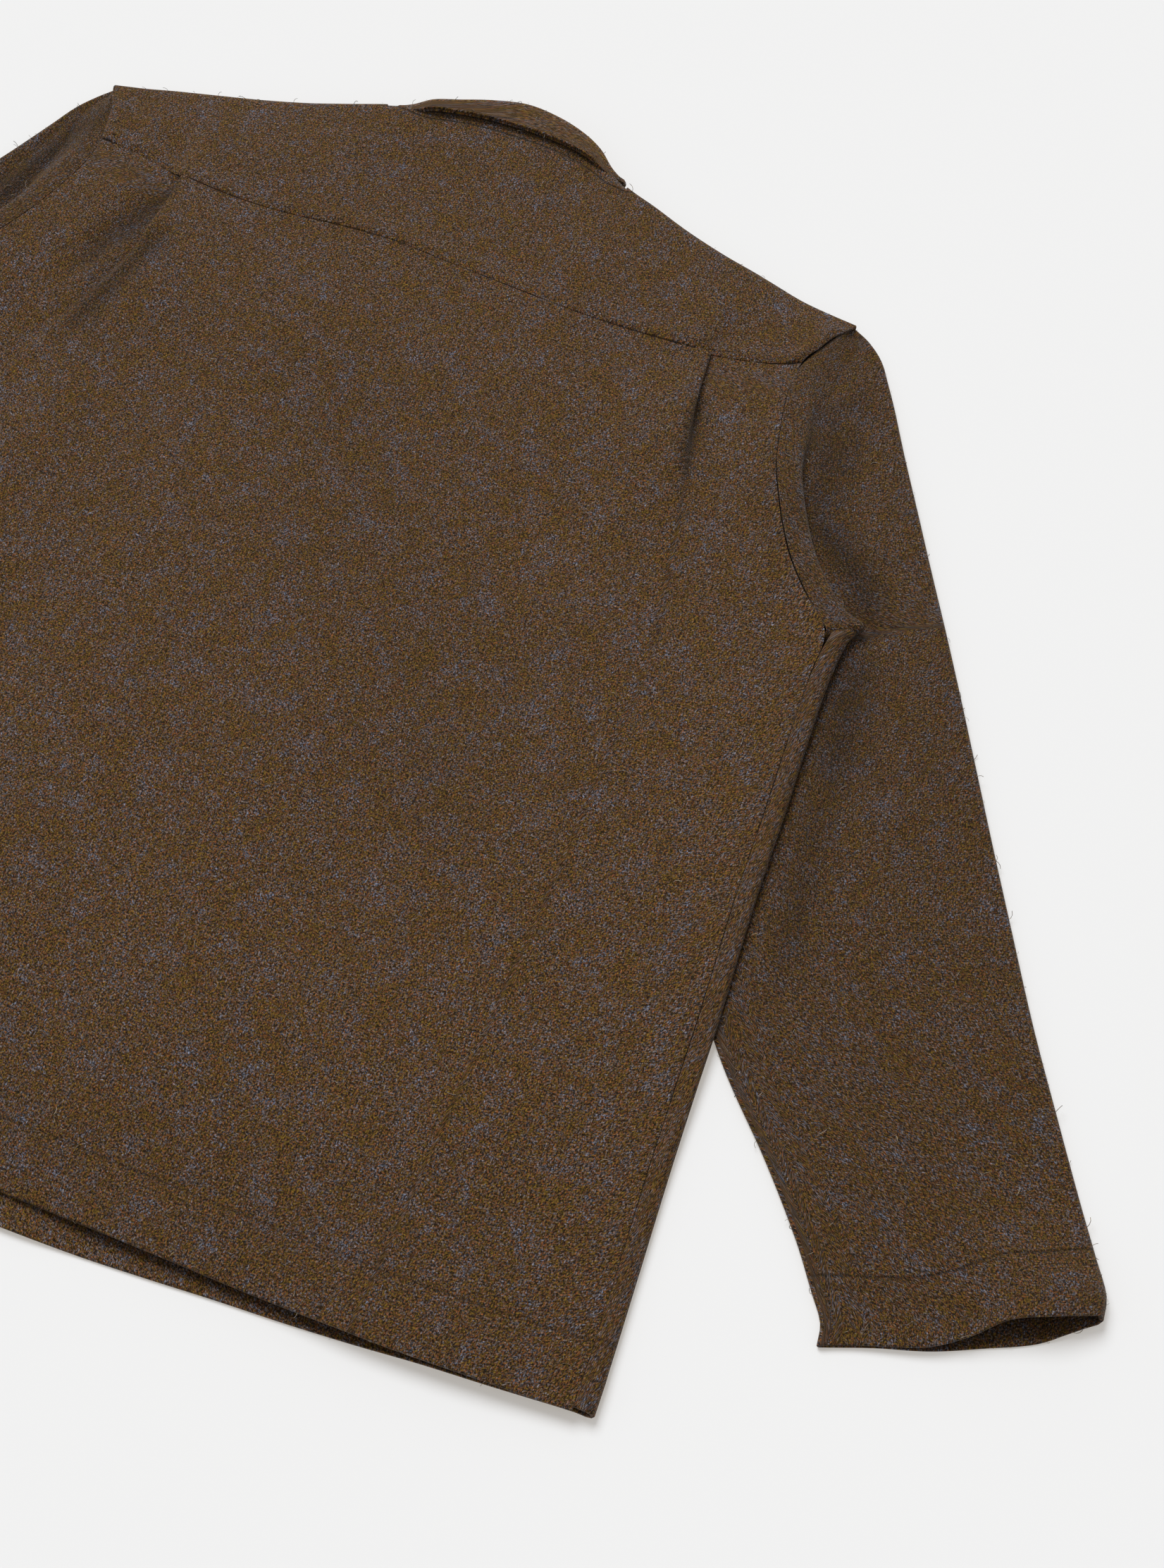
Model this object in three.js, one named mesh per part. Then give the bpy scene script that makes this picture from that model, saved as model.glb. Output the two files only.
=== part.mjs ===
// A boxy tweed jacket lying face down, back uppermost, both sleeves swung down beside the body.
// Right and left are the viewer's, looking down on the back with the collar away from them.
// While it is drawn, x runs across, y runs from the hem to the collar and z is height above the
// surface. The drawing's zero is midway between the shoulder tips.
import * as THREE from 'three';

// Driving dimensions in millimetres
const CLOTH = 1.6;
const SEAM_GAP = 0.3;
const PLY_STEP = 2.0;
const FLOOR_PLY = CLOTH / 2;
const SHOULDER_HALF = 235;
const NECK_HALF = 78;
const NECK_RISE = 63;
const NECK_DIP = { right: 44, left: 47 };
const NECK_BEND = { right: 2.7, left: 2.15 };
const YOKE_DEPTH_UNDER = 30;
const BODY_LENGTH = 653;
const SIDE_SEAM_IN = 10;
const UNDERARM_LEVEL = -207;
const FRONT_LAP_HALF = 21;
const FRONT_NECK_DROP = 38;
const LEAN = 0.03;
const SLEEVE_CAP_BAND = 11;
const CUFF_LIFT = 9;
const HEM_LIFT = 5;
const COLLAR_MIDDLE = 8.2;
const COLLAR_POINT = 44;

const tweed = new THREE.MeshStandardMaterial({ color: 0x5a4a3a, roughness: 0.95, metalness: 0 });
const tweedShade = new THREE.MeshStandardMaterial({ color: 0x53432f, roughness: 0.95, metalness: 0 });

// Body outline. Each row gives the distance of an edge from the centre line at one level:
// the armhole seam down to the underarm, then the side fold down to the hem.
const ARMHOLE = [
  { y: 0, right: 235, left: 237 },
  { y: -15, right: 228, left: 231 },
  { y: -26, right: 223.5, left: 227.5 },
  { y: -37, right: 218.5, left: 224.5 },
  { y: -64, right: 220, left: 224 },
  { y: -89, right: 225.5, left: 229 },
  { y: -113, right: 232.5, left: 236 },
  { y: -147, right: 249, left: 251 },
  { y: -168, right: 262, left: 263 },
  { y: -188, right: 279, left: 278 },
  { y: UNDERARM_LEVEL, right: 298, left: 295 },
];
const SIDE_FOLD = [
  { y: -195, right: 312.5, left: 309 },
  { y: -218, right: 308, left: 305 },
  { y: -255, right: 309.5, left: 304 },
  { y: -304, right: 314.5, left: 305 },
  { y: -364, right: 319.5, left: 307 },
  { y: -449, right: 328, left: 312 },
  { y: -490, right: 331, left: 314 },
  { y: -548, right: 337.3, left: 317 },
  { y: -600, right: 343.3, left: 320 },
  { y: -680, right: 351, left: 324 },
];

// Height of the back's edge along the armhole and side fold.
const EDGE_HEIGHT = [
  { y: 0, z: 5.4 },
  { y: -37, z: 6.6 },
  { y: -64, z: 7.5 },
  { y: -89, z: 8.3 },
  { y: -113, z: 9.1 },
  { y: -147, z: 9.8 },
  { y: -218, z: 9.8 },
  { y: -304, z: 9.0 },
  { y: -400, z: 8.2 },
  { y: -470, z: 6.6 },
  { y: -540, z: 5.6 },
  { y: -600, z: 6.2 },
  { y: -680, z: 8.4 },
];

// Top of the shoulder fold, and the seam where yoke meets back, by distance from the centre.
const SHOULDER_FOLD = [
  { x: 78, right: 45.5, left: 51.5 },
  { x: 98, right: 38, left: 43.5 },
  { x: 135, right: 25, left: 31.5 },
  { x: 174, right: 15, left: 21.5 },
  { x: 203, right: 7, left: 14.4 },
  { x: 236, right: 1.7, left: 4.3 },
];
const YOKE_SEAM = [
  { x: -226, y: -38 },
  { x: -196, y: -41.5 },
  { x: -167, y: -47.5 },
  { x: -130, y: -51.5 },
  { x: -98, y: -51 },
  { x: -62, y: -47 },
  { x: -30, y: -45.5 },
  { x: 0, y: -48 },
  { x: 40, y: -51 },
  { x: 94, y: -54 },
  { x: 149, y: -52.5 },
  { x: 190, y: -47.5 },
  { x: 209, y: -42 },
  { x: 219, y: -36 },
];

// Hem of the back and of the longer fronts, by distance from the centre.
const BACK_HEM = [
  { x: 0, y: -BODY_LENGTH },
  { x: 205, y: -BODY_LENGTH },
  { x: 254, y: -651 },
  { x: 301, y: -647 },
  { x: 350, y: -642.5 },
];
const FRONT_HEM = [
  { x: 0, y: -668.2 },
  { x: 58, y: -667.6 },
  { x: 112, y: -664.5 },
  { x: 165, y: -660 },
  { x: 216, y: -655.5 },
  { x: 270, y: -649 },
  { x: 314, y: -644 },
  { x: 350, y: -640.2 },
];

// One open pleat under the yoke at each side, by distance below the yoke seam:
// drop from the fold's crest to the cloth under it, how far it turns under, and its overlap.
const PLEAT = [
  { below: 0, drop: 3.9, turn: 180, overlap: 13 },
  { below: 12, drop: 4.0, turn: 180, overlap: 11 },
  { below: 24, drop: 5.2, turn: 172, overlap: 0 },
  { below: 40, drop: 6.6, turn: 138, overlap: 0 },
  { below: 60, drop: 6.8, turn: 104, overlap: 0 },
  { below: 85, drop: 5.6, turn: 68, overlap: 0 },
  { below: 115, drop: 4.0, turn: 40, overlap: 0 },
  { below: 150, drop: 2.4, turn: 24, overlap: 0 },
  { below: 200, drop: 1.1, turn: 11, overlap: 0 },
  { below: 260, drop: 0.3, turn: 4, overlap: 0 },
  { below: 640, drop: 0.1, turn: 3, overlap: 0 },
];
const PLEAT_LINE = [
  { y: -40, right: 167, left: 167 },
  { y: -84, right: 174, left: 164 },
  { y: -124, right: 182, left: 165 },
  { y: -180, right: 196, left: 179 },
  { y: -280, right: 214, left: 200 },
  { y: -660, right: 230, left: 215 },
];

// Outer edge of each sleeve from the shoulder tip to the cuff, and the way the sleeve lies.
const SLEEVES = {
  right: {
    lie: 30.7,
    middle: [390, -258],
    underarmWidth: 171,
    edge: [[236.5, 1.2], [252.5, -8.7], [262, -21.3], [276.7, -45.3], [290.4, -69.8], [310, -103.6],
      [329, -136.4], [355.6, -181.6], [382.2, -228.2], [409, -276], [437.6, -326.2], [464.5, -373.3],
      [491, -416.4], [520.2, -463], [535, -486.5], [543.5, -501], [545, -511.5]],
  },
  left: {
    lie: 26.5,
    middle: [367, -262],
    underarmWidth: 164,
    edge: [[238.5, 3], [250.5, -14], [257.5, -32], [274, -74], [296, -120], [330, -188], [367, -262],
      [418, -364], [466, -460], [486, -497], [495, -515], [496.5, -524]],
  },
};

// Sleeve stations, by distance along the outer edge: how far the cloth beside the armhole
// turns under, its overlap, how far in the hidden fold lies and whether the front ply turns back.
const SLEEVE_STATIONS = [
  { along: 0, turn: 6, overlap: 0, hidden: 0, back: 0 },
  { along: 12, turn: 9, overlap: 0, hidden: 0, back: 0 },
  { along: 27, turn: 14, overlap: 0, hidden: 0, back: 0 },
  { along: 44, turn: 22, overlap: 0, hidden: 0, back: 0 },
  { along: 62, turn: 36, overlap: 0, hidden: 0, back: 0 },
  { along: 80, turn: 62, overlap: 0, hidden: 0, back: 0 },
  { along: 94, turn: 95, overlap: 0, hidden: 0, back: 90 },
  { along: 106, turn: 128, overlap: 0, hidden: 12, back: 180 },
  { along: 122, turn: 160, overlap: 0, hidden: 26, back: 180 },
  { along: 140, turn: 180, overlap: 3, hidden: 46, back: 180 },
  { along: 162, turn: 180, overlap: 7, hidden: 68, back: 180 },
  { along: 184, turn: 180, overlap: 9, hidden: 84, back: 180 },
];
const TUBE_STATIONS = [
  { past: 5, seam: 0.02, right: 172.5, left: 165 },
  { past: 22, seam: 0.08, right: 174, left: 166 },
  { past: 55, seam: 0.25, right: 173, left: 165 },
  { past: 95, seam: 0.5, right: 169.5, left: 162 },
  { past: 140, seam: 0.75, right: 165, left: 158 },
  { past: 185, seam: 0.95, right: 159.5, left: 153 },
  { past: 240, seam: 1, right: 151.4, left: 145 },
  { past: 290, seam: 1, right: 140.4, left: 136 },
  { past: 330, seam: 1, right: 133.9, left: 130 },
  { past: 358, seam: 1, right: 132, left: 127 },
  { past: 376, seam: 1, right: 130.8, left: 125 },
  { past: 388, seam: 1, right: 130.2, left: 124 },
];
const TUBE_LENGTH = TUBE_STATIONS[TUBE_STATIONS.length - 1].past;

function smooth(from, to, value) {
  const part = Math.min(1, Math.max(0, (value - from) / (to - from)));
  return part * part * (3 - 2 * part);
}

// Value of one column of a table at a place on another column, eased between rows.
function lookUp(table, keyName, valueName, key) {
  const rising = table[1][keyName] > table[0][keyName];
  const rows = rising ? table : [...table].reverse();
  if (key <= rows[0][keyName]) return rows[0][valueName];
  for (let i = 1; i < rows.length; i += 1) {
    if (key <= rows[i][keyName]) {
      const before = rows[Math.max(0, i - 2)];
      const a = rows[i - 1];
      const b = rows[i];
      const after = rows[Math.min(rows.length - 1, i + 1)];
      const span = b[keyName] - a[keyName];
      const part = (key - a[keyName]) / span;
      const slopeA = (b[valueName] - before[valueName]) / (b[keyName] - before[keyName]) * span;
      const slopeB = (after[valueName] - a[valueName]) / (after[keyName] - a[keyName]) * span;
      const s2 = part * part;
      const s3 = s2 * part;
      return (2 * s3 - 3 * s2 + 1) * a[valueName] + (s3 - 2 * s2 + part) * slopeA
        + (3 * s2 - 2 * s3) * b[valueName] + (s3 - s2) * slopeB;
    }
  }
  return rows[rows.length - 1][valueName];
}

function lerp(a, b, part) {
  return a + (b - a) * part;
}

// A cloth wall of even thickness about a grid of points on its middle. Cells that hasCell
// refuses are left open, and every open edge is closed with a narrow wall.
function clothWall(rows, hasCell = () => true) {
  const rowCount = rows.length;
  const colCount = rows[0].length;
  const normals = rows.map((row) => row.map(() => new THREE.Vector3()));
  const cells = [];
  for (let r = 0; r < rowCount - 1; r += 1) {
    for (let c = 0; c < colCount - 1; c += 1) {
      if (!hasCell(r, c)) continue;
      const across = rows[r + 1][c + 1].clone().sub(rows[r][c]);
      const down = rows[r + 1][c].clone().sub(rows[r][c + 1]);
      const normal = across.cross(down).normalize();
      for (const [i, j] of [[r, c], [r, c + 1], [r + 1, c], [r + 1, c + 1]]) normals[i][j].add(normal);
      cells.push([r, c]);
    }
  }
  const ids = new Map();
  const places = [];
  function corner(r, c, side) {
    const key = `${r},${c},${side}`;
    if (!ids.has(key)) {
      const point = rows[r][c].clone().addScaledVector(normals[r][c].clone().normalize(), side * CLOTH / 2);
      ids.set(key, places.length / 3);
      places.push(point.x, point.y, point.z);
    }
    return ids.get(key);
  }
  const faces = [];
  const has = new Set(cells.map(([r, c]) => `${r},${c}`));
  for (const [r, c] of cells) {
    const ring = [[r, c], [r, c + 1], [r + 1, c + 1], [r + 1, c]];
    const top = ring.map(([i, j]) => corner(i, j, 1));
    const under = ring.map(([i, j]) => corner(i, j, -1));
    faces.push(top[0], top[1], top[2], top[0], top[2], top[3]);
    faces.push(under[0], under[2], under[1], under[0], under[3], under[2]);
    const beside = [[r - 1, c], [r, c + 1], [r + 1, c], [r, c - 1]];
    for (let k = 0; k < 4; k += 1) {
      if (has.has(`${beside[k][0]},${beside[k][1]}`)) continue;
      const next = (k + 1) % 4;
      faces.push(top[k], under[next], top[next], top[k], under[k], under[next]);
    }
  }
  const geometry = new THREE.BufferGeometry();
  geometry.setAttribute('position', new THREE.Float32BufferAttribute(places, 3));
  geometry.setIndex(faces);
  geometry.computeVertexNormals();
  return geometry;
}

// A fold in section. The cloth runs outwards, turns down by the given angle, runs on and
// turns outwards again, ending the given drop lower. Ten points of distance out and height.
function foldSection(drop, turnDegrees, overlap, widest) {
  const turn = THREE.MathUtils.degToRad(turnDegrees);
  const bend = 1 - Math.cos(turn);
  const full = turnDegrees > 179;
  const radius = full ? drop / 4 : Math.min(widest, 0.97 * drop / (2 * bend));
  const run = full ? overlap : (drop - 2 * radius * bend) / Math.sin(turn);
  const points = [];
  for (let i = 0; i < 5; i += 1) {
    const angle = turn * i / 4;
    points.push({ out: radius * Math.sin(angle), up: -radius * (1 - Math.cos(angle)) });
  }
  const last = points[4];
  const startOut = last.out + run * Math.cos(turn);
  const startUp = last.up - run * Math.sin(turn);
  for (let i = 0; i < 5; i += 1) {
    const angle = turn * (1 - i / 4);
    const out = startOut + radius * (Math.sin(turn) - Math.sin(angle));
    points.push({ out, up: startUp - radius * (Math.cos(angle) - Math.cos(turn)) });
  }
  return points;
}

function armholeAt(side, y) {
  return lookUp(ARMHOLE, 'y', side, y);
}

function frontArmholeAt(side, y) {
  return armholeAt(side, y) - 6 * smooth(-5, -45, y);
}

function sideFoldAt(side, y) {
  return lookUp(SIDE_FOLD, 'y', side, y);
}

function edgeHeight(y) {
  return lookUp(EDGE_HEIGHT, 'y', 'z', y);
}

// Where the body's centre line lies, since the body leans a little to the right below the yoke.
function centreAt(y) {
  return -LEAN * y;
}

// Directions of a sleeve in plan: down its outer edge, and out across it.
function sleeveAxes(side) {
  const lie = THREE.MathUtils.degToRad(SLEEVES[side].lie);
  return {
    down: new THREE.Vector2(Math.sin(lie), -Math.cos(lie)),
    out: new THREE.Vector2(Math.cos(lie), Math.sin(lie)),
  };
}

function sleeveEdge(side) {
  return new THREE.SplineCurve(SLEEVES[side].edge.map(([x, y]) => new THREE.Vector2(x, y)));
}

// Distance in from a point of the sleeve's outer edge to a seam of the body, along a slice.
function distanceIn(start, out, seamAt) {
  let near = 0;
  let far = 200;
  for (let i = 0; i < 40; i += 1) {
    const middle = (near + far) / 2;
    const beyond = start.x - middle * out.x - seamAt(start.y - middle * out.y);
    if (beyond > 0) near = middle;
    else far = middle;
  }
  return (near + far) / 2;
}

// Stations of a sleeve with everything that its sections need.
function sleevePlan(side) {
  const edge = sleeveEdge(side);
  const length = edge.getLength();
  const { out: restOut, down } = sleeveAxes(side);
  const restAngle = Math.atan2(restOut.y, restOut.x);
  const stations = [];
  function place(along) {
    const point = edge.getPointAt(Math.min(1, along / length));
    const angle = restAngle + 0.5 * Math.exp(-along / 16);
    return { point, out: new THREE.Vector2(Math.cos(angle), Math.sin(angle)) };
  }
  for (const row of SLEEVE_STATIONS) {
    const { point, out } = place(row.along);
    const seamIn = distanceIn(point, out, (y) => armholeAt(side, y));
    const seamY = point.y - seamIn * out.y;
    const frontIn = distanceIn(point, out, (y) => frontArmholeAt(side, y));
    stations.push({ ...row, point, out, seamIn, frontIn, seamZ: edgeHeight(seamY), tube: false,
      width: frontIn + 3 + row.hidden, visible: seamIn - 12 });
  }
  const last = stations[stations.length - 1];
  const start = last.along + 16;
  const underarm = place(start);
  const seamIn = distanceIn(underarm.point, underarm.out, (y) => armholeAt(side, y));
  stations.push({ along: start, point: underarm.point, out: underarm.out, seamIn, frontIn: seamIn + 5,
    seamZ: edgeHeight(UNDERARM_LEVEL), turn: 180, overlap: 8, back: 180, tube: false,
    width: SLEEVES[side].underarmWidth, visible: seamIn - 12 });
  for (const row of TUBE_STATIONS) {
    const along = Math.min(length, start + row.past * (length - start) / TUBE_LENGTH);
    const { point, out } = place(along);
    const width = row[side];
    const seam = lerp(seamIn + 5, width - 5, row.seam);
    const bodyIn = distanceIn(point, out, (y) => sideFoldAt(side, y));
    stations.push({ along, point, out, seamIn: seam, frontIn: seam, seamZ: FLOOR_PLY + PLY_STEP,
      turn: 0, overlap: 0, back: 180, tube: true, width, visible: Math.min(bodyIn, width) - 6 });
  }
  return { stations, down, length };
}

// One section of a sleeve: from the back armhole seam over the fold beside it, out to the
// outer edge, round it, in along the surface to the hidden fold, and back to the front seam.
function sleeveSection(station, length) {
  const low = FLOOR_PLY + PLY_STEP;
  const toCuff = length - station.along;
  const points = [];
  const seamIn = station.seamIn - (station.tube ? SEAM_GAP : 0);
  const drop = station.seamZ - low;
  const hump = 2.6 * smooth(0, 120, station.along);
  const visible = station.visible;
  const mouth = CUFF_LIFT * smooth(70, 0, toCuff);
  const edgeRadius = 1 + 0.9 * smooth(0, 60, station.along);
  function topHeight(inwards) {
    const across = Math.min(1, Math.max(0, inwards / visible));
    const lift = Math.exp(-(((inwards - 38) / 24) ** 2));
    return FLOOR_PLY + 2 * edgeRadius * (1 - smooth(0, 0.5, across)) + PLY_STEP * smooth(0, 0.5, across)
      + hump * Math.sin(Math.PI * across) ** 2 + mouth * lift;
  }
  if (station.tube) {
    for (let i = 0; i < 12; i += 1) {
      const inwards = seamIn - 26 * (i / 11);
      points.push({ inwards, z: topHeight(inwards) });
    }
  } else {
    const band = Math.min(SLEEVE_CAP_BAND, seamIn * 0.3);
    const arcs = foldSection(Math.max(0.2, drop), station.turn, station.overlap, 6);
    points.push({ inwards: seamIn - SEAM_GAP, z: station.seamZ });
    points.push({ inwards: seamIn - band / 2, z: station.seamZ + 0.3 });
    const room = (seamIn - band - edgeRadius) / Math.max(1, arcs[9].out);
    const squeeze = Math.min(1, room * 0.8);
    for (const arc of arcs) {
      points.push({ inwards: seamIn - band - arc.out * squeeze, z: station.seamZ + arc.up });
    }
  }
  const from = points[points.length - 1].inwards;
  const topEdge = topHeight(0);
  const radius = (topEdge - FLOOR_PLY) / 2;
  for (let i = 1; i <= 4; i += 1) {
    const inwards = lerp(from, radius, i / 5);
    const blend = station.tube ? 1 : smooth(0, 0.4, i / 5);
    points.push({ inwards, z: lerp(points[11].z, topHeight(inwards), blend) });
  }
  for (let i = 0; i <= 4; i += 1) {
    const angle = Math.PI * i / 4;
    const z = FLOOR_PLY + radius * (1 + Math.cos(angle));
    points.push({ inwards: radius - radius * Math.sin(angle), z });
  }
  const turn = THREE.MathUtils.degToRad(station.back);
  const turnRadius = PLY_STEP / 2;
  const turnIn = station.width - turnRadius;
  for (let i = 1; i <= 4; i += 1) points.push({ inwards: lerp(radius, turnIn, i / 5), z: FLOOR_PLY });
  for (let i = 0; i <= 4; i += 1) {
    const angle = turn * i / 4;
    const reach = station.back ? turnRadius * Math.sin(angle) : 0.8 * i;
    points.push({ inwards: turnIn + reach, z: FLOOR_PLY + turnRadius * (1 - Math.cos(angle)) });
  }
  const end = points[points.length - 1];
  let reach = station.back === 180 ? end.inwards - station.frontIn : 0.6;
  if (station.back === 0) reach = 2;
  for (let i = 1; i <= 3; i += 1) {
    const step = reach * i / 3;
    points.push({ inwards: end.inwards + step * Math.cos(turn), z: end.z + step * Math.sin(turn) });
  }
  return points;
}

function sleeve(side) {
  const mirror = side === 'right' ? 1 : -1;
  const { stations, down, length } = sleevePlan(side);
  const rows = stations.map((station) => {
    const toCuff = length - station.along;
    return sleeveSection(station, length).map((point, i) => {
      const across = point.inwards / station.width;
      const bulge = 5 * smooth(0, 0.16, across) * (1 - 0.85 * smooth(0.2, 0.85, across));
      const drawnBack = i < 18 ? 9 * Math.exp(-(((point.inwards - 36) / 26) ** 2)) : 0;
      const slide = (bulge - drawnBack) * smooth(60, 0, toCuff);
      const x = station.point.x - point.inwards * station.out.x + slide * down.x;
      const y = station.point.y - point.inwards * station.out.y + slide * down.y;
      return new THREE.Vector3(mirror * x, y, point.z);
    });
  });
  return clothWall(rows);
}

// How high a front's ply lies: on the surface, or raised over a sleeve, a collar or the other front.
const UNDER_SLEEVE = [
  { along: -10, width: 0, lift: 0 },
  { along: 0, width: 12, lift: PLY_STEP },
  { along: 70, width: 84, lift: PLY_STEP },
  { along: 88, width: 95, lift: 2 * PLY_STEP },
  { along: 120, width: 115, lift: 2 * PLY_STEP },
  { along: 137, width: 133, lift: 2 * PLY_STEP },
  { along: 159, width: 154, lift: 2 * PLY_STEP },
  { along: 181, width: 169, lift: 2 * PLY_STEP },
  { along: 220, width: 171, lift: 2 * PLY_STEP },
  { along: 300, width: 170, lift: 2 * PLY_STEP },
  { along: 440, width: 163, lift: 2 * PLY_STEP },
  { along: 580, width: 138, lift: 2 * PLY_STEP },
];

function frontHeight(side, across, y) {
  const { down, out } = sleeveAxes(side);
  const [startX, startY] = SLEEVES[side].edge[0];
  const [midX, midY] = SLEEVES[side].middle;
  const along = (across - startX) * down.x + (y - startY) * down.y;
  const inwards = (midX - across) * out.x + (midY - y) * out.y;
  const width = lookUp(UNDER_SLEEVE, 'along', 'width', along);
  const lift = lookUp(UNDER_SLEEVE, 'along', 'lift', along);
  const ramp = lerp(48, 34, smooth(-220, -300, y));
  const overSleeve = lift * smooth(width + ramp, width + ramp - 26, inwards);
  const nearArmhole = smooth(28, 12, frontArmholeAt(side, y) - across) * smooth(-200, -150, y);
  const overSeam = Math.min(lift, 2 * PLY_STEP) * nearArmhole;
  const fromNeck = Math.hypot(Math.max(0, Math.abs(across) - 25) / 95, Math.max(0, -20 - y) / 95);
  const overCollar = 2 * PLY_STEP * smooth(1.15, 0.8, fromNeck);
  const mirror = side === 'right' ? 1 : -1;
  const fromCentre = across - mirror * centreAt(y);
  const lap = side === 'right' ? PLY_STEP * smooth(FRONT_LAP_HALF + 46, FRONT_LAP_HALF + 20, fromCentre) : 0;
  return FLOOR_PLY + Math.max(overSleeve, overSeam, overCollar) + lap;
}

// Top of the yoke and back.
function shoulderHeight(across) {
  return lerp(COLLAR_MIDDLE + 2.1, 5.6, smooth(60, SHOULDER_HALF, Math.abs(across)));
}

function yokeSeamAt(x) {
  return lookUp(YOKE_SEAM, 'x', 'y', x);
}

function backHeight(side, across, y, fromYoke) {
  const reach = y > UNDERARM_LEVEL ? armholeAt(side, y) : sideFoldAt(side, y);
  const towardsEdge = smooth(reach - 85, reach - 4, across);
  const under = lerp(4.6, 5.4, smooth(0, 120, fromYoke));
  const hemLift = HEM_LIFT * smooth(-590, -652, y) * smooth(120, 230, across);
  const wave = 0.5 * Math.sin(across / 37 + y / 83) * smooth(0, 90, fromYoke);
  const clear = frontHeight(side, across, y) + PLY_STEP + 0.9;
  const body = Math.max(clear, under + wave) + hemLift * (side === 'right' ? 1 : 0.6);
  return lerp(body, edgeHeight(y), towardsEdge);
}

// Where the yoke seam, the hem and the pleats lie across a half of the back.
const YOKE_END = 219;
const HEM_END = 340;
const PLEAT_ACROSS = 170;

// Rows of the back by depth below the yoke seam.
const BACK_ROWS = [0, 8, 16, 26, 36, 48, 62, 78, 96, 114, 132, 150, 170, 200, 240, 290, 345, 400, 450,
  500, 545, 580, 605, 616];

// One half of a row of the back, from the centre line out to the armhole or side seam.
function backHalfRow(side, share) {
  const mirror = side === 'right' ? 1 : -1;
  const seamEnd = yokeSeamAt(mirror * YOKE_END);
  const hemEnd = lookUp(BACK_HEM, 'x', 'y', HEM_END);
  const endY = lerp(seamEnd, hemEnd, share);
  const seamX = endY > UNDERARM_LEVEL ? armholeAt(side, endY) : sideFoldAt(side, endY) - SIDE_SEAM_IN;
  const byUnderarm = smooth(-185, -200, endY) * smooth(-255, -230, endY);
  const endX = seamX - (1.5 + 3 * byUnderarm) * SEAM_GAP;
  function levelAt(across) {
    return lerp(yokeSeamAt(mirror * across) - 2 * SEAM_GAP, lookUp(BACK_HEM, 'x', 'y', across), share);
  }
  const level = levelAt(PLEAT_ACROSS);
  const below = yokeSeamAt(mirror * PLEAT_ACROSS) - level;
  const crestX = lookUp(PLEAT_LINE, 'y', side, level);
  const pleat = {};
  for (const name of ['drop', 'turn', 'overlap']) pleat[name] = lookUp(PLEAT, 'below', name, below);
  if (below < 14) pleat.turn = 180;
  const arcs = foldSection(pleat.drop, Math.min(180, pleat.turn), Math.max(0, pleat.overlap), 9);
  const valley = backHeight(side, crestX + arcs[9].out, level, below);
  const crest = valley + pleat.drop;
  const centreBase = lerp(9.3, 5.6, smooth(50, 150, below));
  const points = [];
  const inner = crestX - arcs[2].out;
  for (let i = 0; i < 5; i += 1) {
    const across = lerp(0, inner, i / 5);
    const wave = 0.5 * Math.sin(across / 31 + level / 71 + 1) * smooth(0, 90, below);
    const hem = 0.4 * HEM_LIFT * smooth(-600, -652, level) * smooth(0, 120, across);
    const z = lerp(centreBase + wave + hem, crest, smooth(inner - 55, inner, across));
    points.push({ across, z: Math.max(z, frontHeight(side, across, level) + PLY_STEP + 0.3) });
  }
  for (const arc of arcs) points.push({ across: inner + arc.out, z: crest + arc.up });
  const from = points[points.length - 1].across;
  for (let i = 1; i <= 6; i += 1) {
    const across = lerp(from, endX, i / 6);
    const settled = backHeight(side, across, lerp(level, endY, i / 6), below);
    points.push({ across, z: lerp(valley, settled, smooth(0, 0.5, i / 6)) });
  }
  return points.map(({ across, z }) => {
    const y = levelAt(Math.min(across, endX));
    const shift = centreAt(y) * (1 - smooth(0, crestX, across));
    return new THREE.Vector3(mirror * across + shift, y, z);
  });
}

function back() {
  const rows = BACK_ROWS.map((depth) => {
    const share = depth / BACK_ROWS[BACK_ROWS.length - 1];
    const left = backHalfRow('left', share).reverse();
    const right = backHalfRow('right', share);
    return [...left, ...right.slice(1)];
  });
  return clothWall(rows);
}

// Yoke: one piece from the seam over each shoulder fold and on under to the fronts,
// with the neckline cut out between the folds.
const NECK_CUT = 0.333;
const YOKE_ACROSS = [-1, -0.93, -0.84, -0.74, -0.63, -0.52, -0.42, -NECK_CUT, -0.24, -0.12, 0, 0.12, 0.24,
  NECK_CUT, 0.42, 0.52, 0.63, 0.74, 0.84, 0.93, 1];
const YOKE_TOP_ROWS = 6;

function shoulderFoldAt(side, across) {
  return lookUp(SHOULDER_FOLD, 'x', side, Math.max(NECK_HALF, across));
}

// The back of the neckline: a curve, then a straight run to the neck end of each shoulder fold.
function necklineAt(x) {
  const side = x < 0 ? 'left' : 'right';
  const across = Math.abs(x);
  const curveEnd = 0.24 / NECK_CUT * NECK_HALF;
  const share = (Math.min(across, curveEnd) / NECK_HALF) ** NECK_BEND[side];
  const curve = lerp(NECK_RISE + 1.5, NECK_DIP[side], share);
  return lerp(curve, shoulderFoldAt(side, 0), Math.max(0, across - curveEnd) / (NECK_HALF - curveEnd));
}

// Edge of the yoke under the shoulder fold, where the front begins.
function yokeFlapAt(side, across) {
  const share = across / frontArmholeAt(side, -28);
  return shoulderFoldAt(side, share * armholeAt(side, 0)) - YOKE_DEPTH_UNDER;
}

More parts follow.
